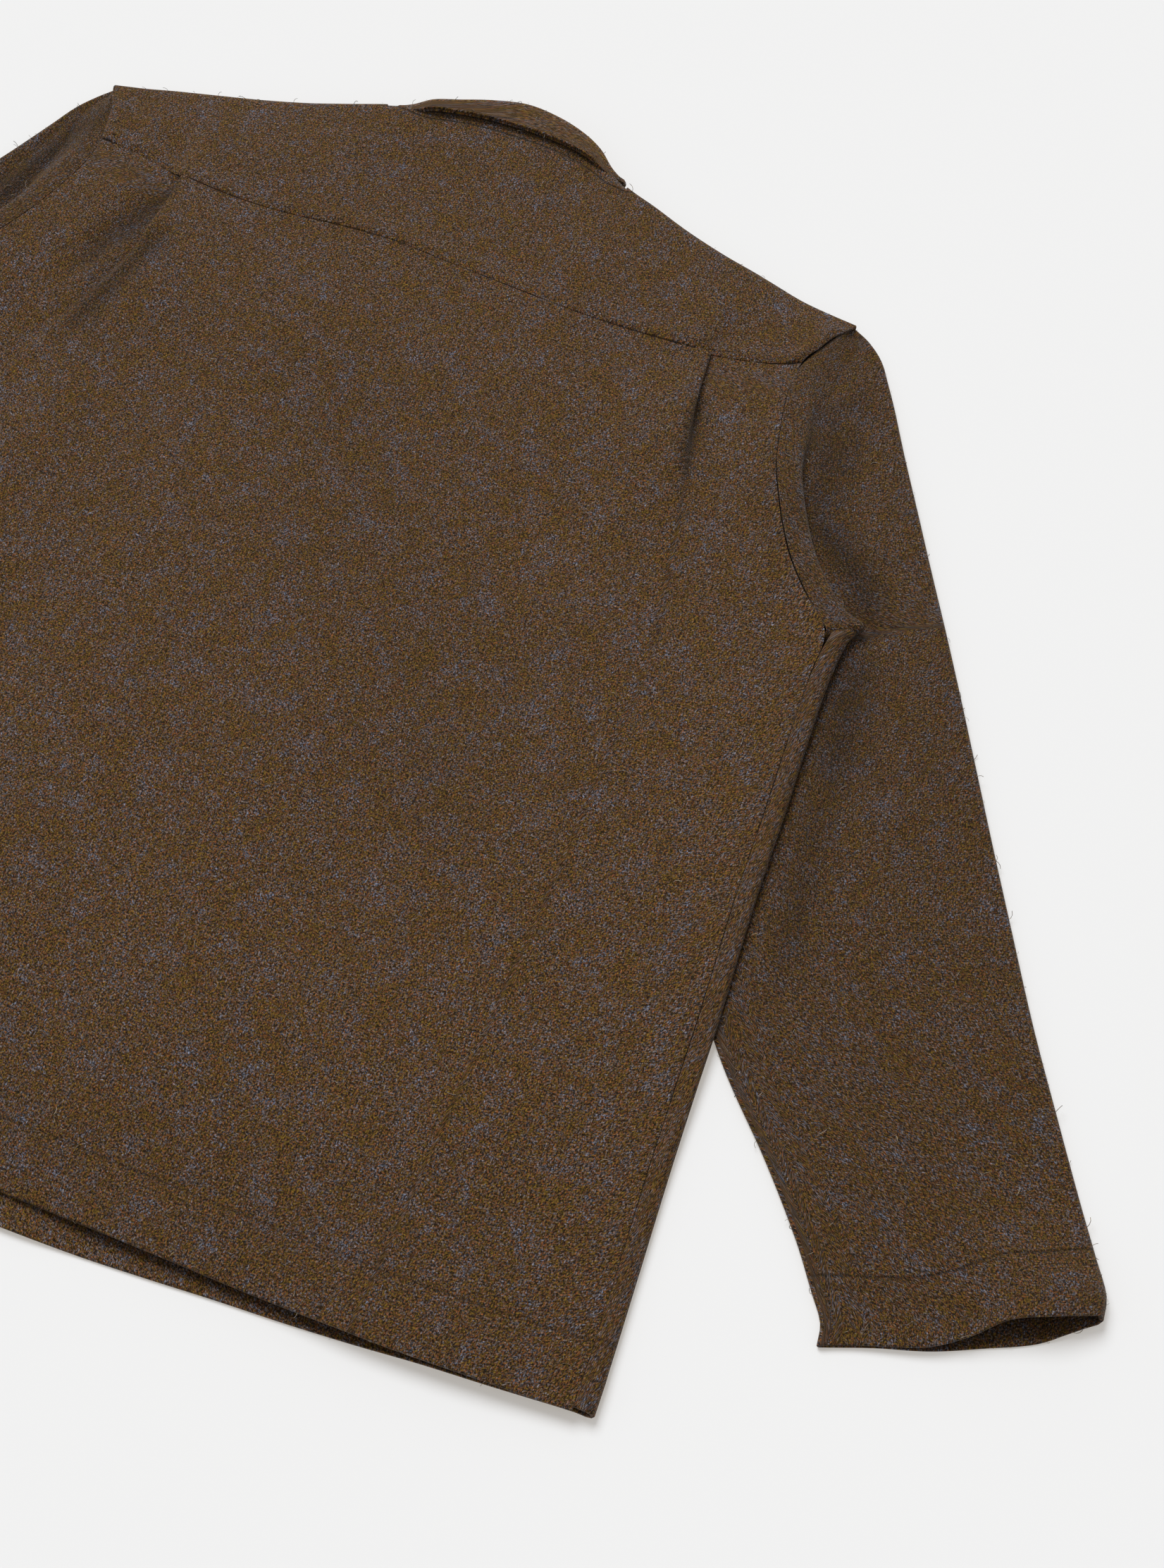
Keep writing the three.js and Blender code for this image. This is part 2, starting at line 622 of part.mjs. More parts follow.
function yoke() {
  const columns = YOKE_ACROSS.map((share) => {
    const side = share < 0 ? 'left' : 'right';
    const mirror = share < 0 ? -1 : 1;
    const amount = Math.abs(share);
    const inNeck = amount < NECK_CUT;
    const foldAcross = amount * armholeAt(side, 0);
    const seamAcross = amount * armholeAt(side, -37);
    const foldY = inNeck ? necklineAt(mirror * foldAcross) : shoulderFoldAt(side, foldAcross);
    const seamY = yokeSeamAt(mirror * seamAcross);
    const topZ = shoulderHeight(foldAcross);
    const centreSeam = lerp(9.4, edgeHeight(-37) + 0.3, smooth(150, 215, seamAcross));
    const underZ = frontHeight(side, foldAcross, foldY - 8);
    const radius = (topZ - underZ) / 2;
    const points = [];
    const foldStart = inNeck ? foldY - SEAM_GAP : foldY - radius;
    const end = amount > 0.99 ? 2 * SEAM_GAP : 0;
    for (let i = 0; i <= YOKE_TOP_ROWS; i += 1) {
      const part = i / YOKE_TOP_ROWS;
      const y = lerp(seamY, foldStart, part);
      const across = amount * armholeAt(side, Math.min(0, lerp(-37, 0, part))) - end;
      const crown = inNeck ? 0 : 1.2 * Math.sin(Math.PI * part);
      points.push(new THREE.Vector3(mirror * across, y, lerp(centreSeam, topZ, smooth(0, 1, part)) + crown));
    }
    for (let i = 1; i <= 4; i += 1) {
      const angle = Math.PI * i / 4;
      const z = underZ + radius * (1 + Math.cos(angle));
      points.push(new THREE.Vector3(mirror * (foldAcross - end), foldStart + radius * Math.sin(angle), z));
    }
    for (let i = 1; i <= 2; i += 1) {
      const y = lerp(foldStart, foldY - YOKE_DEPTH_UNDER, i / 2);
      const across = amount * frontArmholeAt(side, Math.min(0, lerp(0, -28, i / 2)));
      points.push(new THREE.Vector3(mirror * across, y, frontHeight(side, across, y)));
    }
    return points;
  });
  const rows = Array.from(columns[0], (first, i) => columns.map((column) => column[i]));
  const neckFrom = YOKE_ACROSS.indexOf(-NECK_CUT);
  const neckTo = YOKE_ACROSS.indexOf(NECK_CUT);
  return clothWall(rows, (r, c) => r < YOKE_TOP_ROWS || c < neckFrom || c >= neckTo);
}

// How far out each front reaches under the underarm before it wraps round the side.
const UNDERARM_END = { right: 285, left: 282 };

// Fronts. The neckline and front edge, row by row, then rows down to the hem.
const FRONT_NECK_ROWS = [
  { innerX: 72, innerY: 20, outerY: -28.5 },
  { innerX: 70, innerY: 4, outerY: -45 },
  { innerX: 59, innerY: -14, outerY: -64 },
  { innerX: 41, innerY: -29, outerY: -84 },
];
const FRONT_BODY_ROWS = [-104, -125, -147, -168, -186, -200, -209, -216, -224, -240, -275, -320, -370,
  -415, -445, -475, -520, -570, -615];
const FRONT_FLAT_COLUMNS = 10;

function frontRow(side, innerX, outerY, levelAt) {
  const mirror = side === 'right' ? 1 : -1;
  const wrapped = outerY < -220;
  const foldX = sideFoldAt(side, outerY);
  const armhole = Math.min(frontArmholeAt(side, outerY), UNDERARM_END[side]);
  const flatEnd = wrapped ? foldX - 16 : armhole - 12;
  const points = [];
  for (let i = 0; i < FRONT_FLAT_COLUMNS; i += 1) {
    const part = i / FRONT_FLAT_COLUMNS;
    const across = lerp(innerX, flatEnd, part);
    points.push({ across, y: levelAt(across), z: null });
  }
  const low = frontHeight(side, flatEnd, outerY);
  if (wrapped) {
    const tucked = outerY > -230;
    const high = tucked ? low + PLY_STEP : Math.max(low + PLY_STEP, edgeHeight(outerY));
    const radius = (high - low) / 2;
    const centre = foldX - radius - CLOTH / 2;
    points.push({ across: (flatEnd + centre) / 2, y: outerY, z: low });
    for (let i = 0; i <= 4; i += 1) {
      const angle = Math.PI * i / 4;
      const z = low + radius * (1 - Math.cos(angle));
      points.push({ across: centre + radius * Math.sin(angle), y: outerY, z });
    }
    points.push({ across: foldX - SIDE_SEAM_IN + SEAM_GAP, y: outerY, z: high });
  } else {
    for (let i = 0; i <= 6; i += 1) {
      const across = lerp(flatEnd, armhole, i / 6);
      points.push({ across, y: levelAt(across), z: null });
    }
  }
  return points.map(({ across, y, z }) => {
    const height = z === null ? frontHeight(side, across, y) : z;
    return new THREE.Vector3(mirror * across, y, height);
  });
}

function front(side) {
  const mirror = side === 'right' ? 1 : -1;
  const rows = [];
  const topY = (across) => yokeFlapAt(side, across) - 3 * SEAM_GAP;
  const neckX = FRONT_NECK_ROWS[0].innerX;
  FRONT_NECK_ROWS.forEach((row, i) => {
    const outerX = frontArmholeAt(side, row.outerY);
    const innerY = i === 0 ? topY(row.innerX) : row.innerY;
    const outerY = i === 0 ? topY(outerX) : row.outerY;
    const slope = (across) => lerp(innerY, outerY, (across - row.innerX) / (outerX - row.innerX));
    const straight = (across) => lerp(topY(neckX), topY(outerX), (across - neckX) / (outerX - neckX));
    const dip = (across) => (across > neckX ? (topY(across) - straight(across)) * (1 - i / 4) : 0);
    rows.push(frontRow(side, row.innerX, outerY, (across) => slope(across) + dip(across)));
  });
  FRONT_BODY_ROWS.forEach((outerY, i) => {
    const innerY = lerp(-FRONT_NECK_DROP, outerY, Math.min(1, i / 5));
    const edgeX = mirror * centreAt(innerY) - FRONT_LAP_HALF;
    rows.push(frontRow(side, edgeX, outerY, (across) => lerp(innerY, outerY, smooth(0, 250, across))));
  });
  const hemY = lookUp(FRONT_HEM, 'x', 'y', HEM_END);
  const edgeX = mirror * centreAt(FRONT_HEM[0].y) - FRONT_LAP_HALF;
  for (const up of [10, 0]) {
    const levelAt = (across) => lookUp(FRONT_HEM, 'x', 'y', Math.abs(across)) + up;
    rows.push(frontRow(side, edgeX, hemY + up, levelAt));
  }
  return clothWall(rows);
}

// Collar. Its section is a hairpin: stand, roll and fall. It runs across the back of the neck
// on top, turns round the neck's corners and comes in underneath to the front edges.
const COLLAR_PATH = [
  { x: 0, y: null, normalX: 0, normalY: 1, around: 0, roll: 14.5, fall: -4 },
  { x: 20, y: null, normalX: 0.06, normalY: 1, around: 0, roll: 13, fall: -4 },
  { x: 38, y: null, normalX: 0.2, normalY: 0.98, around: 0, roll: 9.5, fall: -4 },
  { x: 52, y: null, normalX: 0.32, normalY: 0.95, around: 0, roll: 5.5, fall: -4 },
  { x: 62, y: null, normalX: 0.35, normalY: 0.93, around: 0, roll: 4.4, fall: -1.5 },
  { x: 66.5, y: 56, normalX: 0.15, normalY: 0.99, around: 30, roll: 4, fall: 0.6 },
  { x: 67.5, y: 55.6, normalX: 0, normalY: 1, around: 60, roll: 3.9, fall: 0.6 },
  { x: 67.5, y: 55.5, normalX: 0, normalY: 1, around: 90, roll: 3.9, fall: 0.6 },
  { x: 67.5, y: 55.5, normalX: 0, normalY: 1, around: 120, roll: 3.9, fall: 0.6 },
  { x: 67, y: 55.5, normalX: 0, normalY: 1, around: 150, roll: 3.9, fall: 0.6 },
  { x: 65, y: 55.5, normalX: -0.1, normalY: 1, around: 180, roll: 4, fall: 0.6 },
  { x: 61.5, y: 53.8, normalX: -0.6, normalY: 0.8, around: 180, roll: 4.5, fall: 0.4 },
  { x: 60.5, y: 49, normalX: -1, normalY: 0, around: 180, roll: 5, fall: -1 },
  { x: 63, y: 40, normalX: -0.95, normalY: -0.3, around: 180, roll: 5, fall: -5 },
  { x: 68, y: 29, normalX: -0.94, normalY: -0.3, around: 180, roll: 5.5, fall: -10 },
  { x: 71, y: 18, normalX: -0.99, normalY: -0.05, around: 180, roll: 6, fall: -16 },
  { x: 69, y: 4, normalX: -0.9, normalY: 0.43, around: 180, roll: 7, fall: -24 },
  { x: 58.5, y: -13.5, normalX: -0.73, normalY: 0.68, around: 180, roll: 7, fall: -32 },
  { x: 40.5, y: -28, normalX: -0.4, normalY: 0.92, around: 180, roll: 7, fall: -38 },
  { x: 7, y: -33, normalX: -0.12, normalY: 0.99, around: 180, roll: 7, fall: -COLLAR_POINT },
];

const COLLAR_ROLL = 3.15;
const COLLAR_CORNER = { x: 67.5, y: 55.5 };
const COLLAR_LEFT_SINK = 3.5;

// Section points from the neck seam up the stand, round the roll and down the fall.
function collarSection(ply, roll, fall) {
  const standLevel = ply === 'under' ? 3.1 : 1.1;
  const fallLevel = ply === 'under' ? 5.4 : 7.4;
  const radius = (fallLevel - standLevel) / 2;
  const middle = (fallLevel + standLevel) / 2;
  const rollCentre = roll - COLLAR_ROLL;
  const points = [{ off: 0.5, level: standLevel }];
  points.push({ off: Math.max(0.8, rollCentre * 0.5), level: standLevel });
  for (let i = 0; i <= 4; i += 1) {
    const angle = Math.PI * i / 4;
    points.push({ off: rollCentre + radius * Math.sin(angle), level: middle - radius * Math.cos(angle) });
  }
  points.push({ off: lerp(rollCentre, fall, 0.5), level: fallLevel });
  points.push({ off: fall, level: fallLevel });
  return points;
}

function collar(ply) {
  function halfRows(mirror) {
    const cornerShift = necklineAt(mirror * COLLAR_CORNER.x) + 0.5 - COLLAR_CORNER.y;
    return COLLAR_PATH.map((row) => {
      const around = THREE.MathUtils.degToRad(row.around);
      const normal = new THREE.Vector2(row.normalX, row.normalY).normalize();
      const start = row.y === null ? necklineAt(mirror * row.x)
        : row.y + cornerShift * smooth(10, COLLAR_CORNER.y - 5, row.y);
      const sink = mirror < 0 ? COLLAR_LEFT_SINK * smooth(0, 30, row.x) * smooth(62, 50, row.x) : 0;
      const roll = Math.max(COLLAR_ROLL + 0.75, row.roll - sink);
      return collarSection(ply, roll, row.fall).map(({ off, level }) => {
        const x = row.x + off * normal.x + level * Math.sin(around);
        const z = COLLAR_MIDDLE + level * Math.cos(around);
        return new THREE.Vector3(mirror * x, start + off * normal.y, z);
      });
    });
  }
  return clothWall([...halfRows(-1).slice(1).reverse(), ...halfRows(1)]);
}

const jacket = new THREE.Group();
function addPiece(name, geometry, material) {
  const mesh = new THREE.Mesh(geometry, material);
  mesh.name = name;
  jacket.add(mesh);
}
addPiece('back', back(), tweed);
addPiece('yoke', yoke(), tweedShade);
addPiece('front_right', front('right'), tweed);
addPiece('front_left', front('left'), tweed);
addPiece('sleeve_right', sleeve('right'), tweedShade);
addPiece('sleeve_left', sleeve('left'), tweedShade);
addPiece('collar_top', collar('top'), tweed);
addPiece('collar_under', collar('under'), tweedShade);

// The finished jacket stands with its origin at the middle of its box, on the surface.
const box = new THREE.Box3().setFromObject(jacket);
const middle = box.getCenter(new THREE.Vector3());
jacket.position.set(-middle.x, -middle.y, -box.min.z);
jacket.updateMatrixWorld(true);

export default jacket;
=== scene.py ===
# A boxy tweed jacket, lying face down on a pale surface with its back uppermost.
# Right and left are the viewer's, looking down on the back with the collar away from them.
import math

import bpy
import numpy as np
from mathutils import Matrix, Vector


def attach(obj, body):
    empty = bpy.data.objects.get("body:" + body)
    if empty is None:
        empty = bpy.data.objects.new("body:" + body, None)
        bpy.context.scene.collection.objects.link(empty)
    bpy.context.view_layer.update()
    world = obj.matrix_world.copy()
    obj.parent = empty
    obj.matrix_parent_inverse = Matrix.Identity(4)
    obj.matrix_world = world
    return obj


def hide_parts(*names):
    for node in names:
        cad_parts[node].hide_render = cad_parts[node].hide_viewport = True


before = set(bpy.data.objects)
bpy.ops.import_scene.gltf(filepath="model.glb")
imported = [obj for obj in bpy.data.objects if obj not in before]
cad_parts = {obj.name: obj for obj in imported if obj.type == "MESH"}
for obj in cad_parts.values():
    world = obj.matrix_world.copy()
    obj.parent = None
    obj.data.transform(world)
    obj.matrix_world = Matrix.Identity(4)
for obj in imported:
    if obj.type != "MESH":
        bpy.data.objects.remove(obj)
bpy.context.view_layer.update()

# Surface, light and camera
# A plain pale table under soft studio light from the upper left, seen by a camera that
# looks steeply down from the lower right. Positions are in metres in the jacket's frame.
SURFACE_COLOUR = (0.530, 0.560, 0.600, 1)
SURFACE_GLOW = (0.340, 0.312, 0.276, 1)
CAMERA_PLACE = Vector((0.48395, -0.7374, 1.2335))
CAMERA_TARGET = Vector((0.1877, -0.04205, 0))
LENS_MM = 64.72
SENSOR_MM = 36
TABLE_HALF = 6.0
KEY_DIRECTION = Vector((0.55, -0.5, -1.0))
KEY_STRENGTH = 2.55
KEY_SPREAD_DEGREES = 34
KEY_COLOUR = (1.0, 0.985, 0.965)
ROOM_COLOUR = (0.98, 0.99, 1.0, 1)
ROOM_STRENGTH = 0.38


def new_material(name, roughness, shine):
    """A material with its node tree and shader; shine is the shader's specular level."""
    material = bpy.data.materials.new(name)
    material.use_nodes = True
    shader = material.node_tree.nodes["Principled BSDF"]
    shader.inputs["Roughness"].default_value = roughness
    shader.inputs["Specular IOR Level"].default_value = shine
    return material, material.node_tree, shader


def plain_surface():
    material, _, shader = new_material("pale table", 0.9, 0.1)
    shader.inputs["Base Color"].default_value = SURFACE_COLOUR
    shader.inputs["Emission Color"].default_value = SURFACE_GLOW
    shader.inputs["Emission Strength"].default_value = 1.0
    half = TABLE_HALF
    mesh = bpy.data.meshes.new("table")
    corners = [(-half, -half, 0), (half, -half, 0), (half, half, 0), (-half, half, 0)]
    mesh.from_pydata(corners, [], [(0, 1, 2, 3)])
    mesh.materials.append(material)
    table_top = bpy.data.objects.new("table", mesh)
    bpy.context.collection.objects.link(table_top)


def studio_light():
    key = bpy.data.lights.new("window light", "SUN")
    key.energy = KEY_STRENGTH
    key.color = KEY_COLOUR
    key.angle = math.radians(KEY_SPREAD_DEGREES)
    key_object = bpy.data.objects.new("window light", key)
    key_object.rotation_euler = KEY_DIRECTION.to_track_quat("-Z", "Y").to_euler()
    bpy.context.collection.objects.link(key_object)
    room = bpy.data.worlds.new("room")
    room.use_nodes = True
    background = room.node_tree.nodes["Background"]
    background.inputs["Color"].default_value = ROOM_COLOUR
    background.inputs["Strength"].default_value = ROOM_STRENGTH
    bpy.context.scene.world = room


def camera_from_the_lower_right():
    lens = bpy.data.cameras.new("camera")
    lens.lens = LENS_MM
    lens.sensor_width = SENSOR_MM
    lens.sensor_fit = "AUTO"
    camera = bpy.data.objects.new("camera", lens)
    camera.location = CAMERA_PLACE
    camera.rotation_euler = (CAMERA_TARGET - CAMERA_PLACE).to_track_quat("-Z", "Y").to_euler()
    bpy.context.collection.objects.link(camera)
    bpy.context.scene.camera = camera


plain_surface()
studio_light()
camera_from_the_lower_right()
bpy.context.scene.view_settings.view_transform = "Standard"

# Fronts
# Two panels of tweed that lie on the table under the back. Each wraps round the side fold to
# the side seam, passes over the sleeve and the collar that lie beneath it, and has a turned hem.
# Lengths in every piece are in millimetres, measured from midway between the shoulder tips.
CLOTH = 1.6
SEAM_GAP = 0.06
PLY_STEP = 2.0
FLOOR_PLY = CLOTH / 2
DRAWING_ZERO = np.array((-24.25, 294.2, 0.0))
SIDE_SEAM_IN = 10
FRONT_LAP_HALF = 21
FRONT_NECK_DROP = 38
LEAN = 0.03
YOKE_DEPTH_UNDER = 30
HEM_TURNING = 34
UNDERARM_END = {"right": 285, "left": 282}
UNDERARM_LEVEL = -207
WRAP_LEVEL = -205
FOLD_REACH = 16
ARMHOLE_REACH = 12
HEM_CORNER = 340
TABLE_CLEARANCE = 0.02


def table(columns, *rows):
    return [dict(zip(columns.split(), row)) for row in rows]


# Body outline: how far each edge lies from the centre line at one level
ARMHOLE = table(
    "y right left",
    (0, 235, 237),
    (-15, 228, 231),
    (-26, 223.5, 227.5),
    (-37, 218.5, 224.5),
    (-64, 220, 224),
    (-89, 225.5, 229),
    (-113, 232.5, 236),
    (-147, 249, 251),
    (-168, 262, 263),
    (-188, 279, 278),
    (-207, 298, 295),
)
SIDE_FOLD = table(
    "y right left",
    (-195, 312.5, 309),
    (-218, 308, 305),
    (-255, 309.5, 304),
    (-304, 314.5, 305),
    (-364, 319.5, 307),
    (-449, 328.9, 312),
    (-490, 332.5, 314),
    (-548, 338.5, 317),
    (-600, 344.6, 320),
    (-680, 352.2, 324),
)
# Height of the back's edge along the armhole and side fold
EDGE_HEIGHT = table(
    "y z",
    (0, 5.4),
    (-37, 6.6),
    (-64, 8.4),
    (-89, 9.8),
    (-113, 10.8),
    (-147, 11.5),
    (-218, 11.0),
    (-304, 9.8),
    (-400, 8.6),
    (-470, 6.6),
    (-540, 5.6),
    (-600, 6.2),
    (-680, 8.4),
)
SHOULDER_FOLD = table(
    "x right left",
    (78, 45.5, 51.5),
    (98, 38, 43.5),
    (135, 25, 31.5),
    (174, 15, 21.5),
    (203, 7, 14.4),
    (236, 1.7, 4.3),
)
FRONT_HEM = table(
    "x y",
    (0, -668.2),
    (58, -667.6),
    (112, -664.5),
    (165, -660),
    (216, -656.1),
    (270, -650.2),
    (314, -646.4),
    (350, -642.8),
)
# Outer edge of each sleeve from the shoulder tip to the cuff, and the way the sleeve lies
SLEEVES = {
    "right": {
        "lie": 30.7,
        "middle": (390, -258),
        "underarm_width": 171,
        "edge": [(236.5, 1.2), (252.5, -8.7), (262, -21.3), (276.7, -45.3), (290.4, -69.8), (310, -103.6),
                 (329, -136.4), (355.6, -181.6), (382.2, -228.2), (409, -276), (437.6, -326.2),
                 (464.5, -373.3), (491, -416.4), (520.2, -463), (535, -486.5), (543.5, -501), (545, -511.5)],
    },
    "left": {
        "lie": 26.5,
        "middle": (367, -262),
        "underarm_width": 164,
        "edge": [(238.5, 3), (250.5, -14), (257.5, -32), (274, -74), (296, -120), (330, -188),
                 (367, -262), (418, -364), (466, -460), (486, -497), (495, -515), (496.5, -524)],
    },
}
# How far in from its outer edge a sleeve lies under the body, and how far it lifts the front
UNDER_SLEEVE = table(
    "along width lift",
    (-10, 0, 0),
    (0, 12, 2),
    (70, 84, 2),
    (88, 95, 4),
    (120, 115, 4),
    (137, 133, 4),
    (159, 154, 4),
    (181, 169, 4),
    (220, 171, 4),
    (300, 170, 4),
    (440, 163, 4),
    (580, 138, 4),
)
FRONT_NECK_ROWS = table(
    "inner_x inner_y outer_y",
    (72, 20, -28.5),
    (70, 4, -45),
    (59, -14, -64),
    (41, -29, -84),
)
FRONT_BODY_ROWS = [-104, -125, -147, -168, -186, -198, -205.2, -213, -219, -227, -240, -275, -320, -370,
                   -415, -445, -475, -520, -570, -615]
UNDERARM_RISE = 0.6
FIRST_WRAP_LOWER = 0.8
FIRST_WRAP_ABOVE = -210
OVER_SLEEVE_RAMP = {"armhole": 48, "side": 34}
OVER_SLEEVE_EASE = 26
COLLAR_BUMP_RADIUS = 95
LAP_EASE = (46, 20)


def mirror_of(side):
    return 1 if side == "right" else -1


def smooth(start, end, value):
    part = min(1.0, max(0.0, (value - start) / (end - start)))
    return part * part * (3 - 2 * part)


def lerp(a, b, part):
    return a + (b - a) * part


def look_up(rows, key_name, value_name, key):
    """One column of a table at a place on another column, eased between the rows."""
    if rows[1][key_name] < rows[0][key_name]:
        rows = rows[::-1]
    if key <= rows[0][key_name]:
        return rows[0][value_name]
    for i in range(1, len(rows)):
        if key <= rows[i][key_name]:
            before, a, b = rows[max(0, i - 2)], rows[i - 1], rows[i]
            after = rows[min(len(rows) - 1, i + 1)]
            span = b[key_name] - a[key_name]
            part = (key - a[key_name]) / span
            slope_a = (b[value_name] - before[value_name]) / (b[key_name] - before[key_name]) * span
            slope_b = (after[value_name] - a[value_name]) / (after[key_name] - a[key_name]) * span
            s2 = part * part
            s3 = s2 * part
            return ((2 * s3 - 3 * s2 + 1) * a[value_name] + (s3 - 2 * s2 + part) * slope_a
                    + (3 * s2 - 2 * s3) * b[value_name] + (s3 - s2) * slope_b)
    return rows[-1][value_name]


def armhole_at(side, y):
    return look_up(ARMHOLE, "y", side, y)


def front_armhole_at(side, y):
    return armhole_at(side, y) - 6 * smooth(-5, -45, y)


def side_fold_at(side, y):
    return look_up(SIDE_FOLD, "y", side, y)


def edge_height(y):
    return look_up(EDGE_HEIGHT, "y", "z", y)


def centre_at(y):
    return -LEAN * y


def shoulder_fold_at(side, across):
    return look_up(SHOULDER_FOLD, "x", side, max(78, across))


def yoke_flap_at(side, across):
    share = across / front_armhole_at(side, -28)
    return shoulder_fold_at(side, share * armhole_at(side, 0)) - YOKE_DEPTH_UNDER


def front_height(side, across, y):
    """Height of a front's ply: on the table, or raised over a sleeve, the collar or the other front."""
    lie = math.radians(SLEEVES[side]["lie"])
    down = (math.sin(lie), -math.cos(lie))
    out = (math.cos(lie), math.sin(lie))
    start_x, start_y = SLEEVES[side]["edge"][0]
    mid_x, mid_y = SLEEVES[side]["middle"]
    along = (across - start_x) * down[0] + (y - start_y) * down[1]
    inwards = (mid_x - across) * out[0] + (mid_y - y) * out[1]
    width = look_up(UNDER_SLEEVE, "along", "width", along)
    lift = look_up(UNDER_SLEEVE, "along", "lift", along)
    ramp = lerp(OVER_SLEEVE_RAMP["armhole"], OVER_SLEEVE_RAMP["side"], smooth(-220, -300, y))
    over_sleeve = lift * smooth(width + ramp, width + ramp - OVER_SLEEVE_EASE, inwards)
    near_armhole = smooth(28, 12, front_armhole_at(side, y) - across) * smooth(-200, -150, y)
    over_seam = min(lift, 2 * PLY_STEP) * near_armhole
    aside, below = max(0, abs(across) - 25), max(0, -20 - y)
    from_neck = math.hypot(aside / COLLAR_BUMP_RADIUS, below / COLLAR_BUMP_RADIUS)
    over_collar = 2 * PLY_STEP * smooth(1.15, 0.8, from_neck)
    mirror = mirror_of(side)
    from_centre = across - mirror * centre_at(y)
    lap = 0
    if side == "right":
        lap = PLY_STEP * smooth(FRONT_LAP_HALF + LAP_EASE[0], FRONT_LAP_HALF + LAP_EASE[1], from_centre)
    return FLOOR_PLY + max(over_sleeve, over_seam, over_collar) + lap


def front_row(side, inner_x, outer_y, level_at):
    mirror = mirror_of(side)
    wrapped = outer_y < WRAP_LEVEL
    rise = UNDERARM_RISE * smooth(-245, UNDERARM_LEVEL, outer_y)
    fold_x = side_fold_at(side, outer_y)
    armhole = min(front_armhole_at(side, outer_y), UNDERARM_END[side])
    flat_end = fold_x - FOLD_REACH if wrapped else armhole - ARMHOLE_REACH
    points = []
    for i in range(10):
        across = lerp(inner_x, flat_end, i / 10)
        y = level_at(across)
        points.append((across, y, front_height(side, across, y)))
    low = front_height(side, flat_end, outer_y)
    if wrapped:
        first = outer_y > FIRST_WRAP_ABOVE
        high = max(low + PLY_STEP, edge_height(outer_y)) - (FIRST_WRAP_LOWER if first else 0)
        radius = (high - low) / 2
        centre = fold_x - radius - CLOTH / 2
        wrap = [((flat_end + centre) / 2, low)]
        for i in range(5):
            angle = math.pi * i / 4
            wrap.append((centre + radius * math.sin(angle), low + radius * (1 - math.cos(angle))))
        seam_x = fold_x - SIDE_SEAM_IN
        if first:
            seam_x = min(seam_x, armhole_at(side, UNDERARM_LEVEL))
        wrap.append((seam_x + SEAM_GAP, high))
        for across, z in wrap:
            points.append((across, outer_y + rise * (across - flat_end), z))
    else:
        for i in range(7):
            across = lerp(flat_end, armhole, i / 6)
            y = level_at(across)
            points.append((across, y, front_height(side, across, y)))
    return [(mirror * across, y, z) for across, y, z in points]


def front_rows(side):
    mirror = mirror_of(side)
    neck_x = FRONT_NECK_ROWS[0]["inner_x"]

    def top_y(across):
        return yoke_flap_at(side, across) - 3 * SEAM_GAP

    rows = []
    for i, row in enumerate(FRONT_NECK_ROWS):
        outer_x = front_armhole_at(side, row["outer_y"])
        inner_y = top_y(row["inner_x"]) if i == 0 else row["inner_y"]
        outer_y = top_y(outer_x) if i == 0 else row["outer_y"]

        def level_at(across):
            slope = lerp(inner_y, outer_y, (across - row["inner_x"]) / (outer_x - row["inner_x"]))
            straight = lerp(top_y(neck_x), top_y(outer_x), (across - neck_x) / (outer_x - neck_x))
            dip = (top_y(across) - straight) * (1 - i / 4) if across > neck_x else 0
            return slope + dip

        rows.append(front_row(side, row["inner_x"], outer_y, level_at))
    for i, outer_y in enumerate(FRONT_BODY_ROWS):
        inner_y = lerp(-FRONT_NECK_DROP, outer_y, min(1, i / 5))
        edge_x = mirror * centre_at(inner_y) - FRONT_LAP_HALF
        rows.append(front_row(side, edge_x, outer_y,
                              lambda across: lerp(inner_y, outer_y, smooth(0, 250, across))))
    hem_y = look_up(FRONT_HEM, "x", "y", HEM_CORNER)
    for up in (10, 0):
        edge_x = mirror * centre_at(-660) - FRONT_LAP_HALF
        rows.append(front_row(side, edge_x, hem_y + up,
                              lambda across: look_up(FRONT_HEM, "x", "y", abs(across)) + up))
    return rows


def refined(points, longest):
    """A grid of points with cells no longer than asked, on smooth curves through the first axis."""
    steps = np.maximum(np.linalg.norm(np.diff(points, axis=0), axis=2), 1e-3)
    travel = np.concatenate([np.zeros((1, points.shape[1])), np.cumsum(steps, axis=0)])
    slopes = np.empty_like(points)
    slopes[1:-1] = (points[2:] - points[:-2]) / (travel[2:] - travel[:-2])[..., None]
    slopes[0] = (points[1] - points[0]) / steps[0][:, None]
    slopes[-1] = (points[-1] - points[-2]) / steps[-1][:, None]
    fine = []
    starts = []
    for k in range(len(points) - 1):
        starts.append(len(fine))
        cuts = max(1, math.ceil(np.median(steps[k]) / longest))
        for j in range(cuts):
            s = j / cuts
            step = steps[k][:, None]
            fine.append((2 * s**3 - 3 * s**2 + 1) * points[k] + (s**3 - 2 * s**2 + s) * step * slopes[k]
                        + (3 * s**2 - 2 * s**3) * points[k + 1] + (s**3 - s**2) * step * slopes[k + 1])
    starts.append(len(fine))
    fine.append(points[-1])
    return np.array(fine), starts


EDGE_STEPS = (0.12, 0.4, 0.85)
EDGE_SHARES = (0.66, 0.85, 0.96, 1.0)
FAR_FROM_A_LINE = 50.0


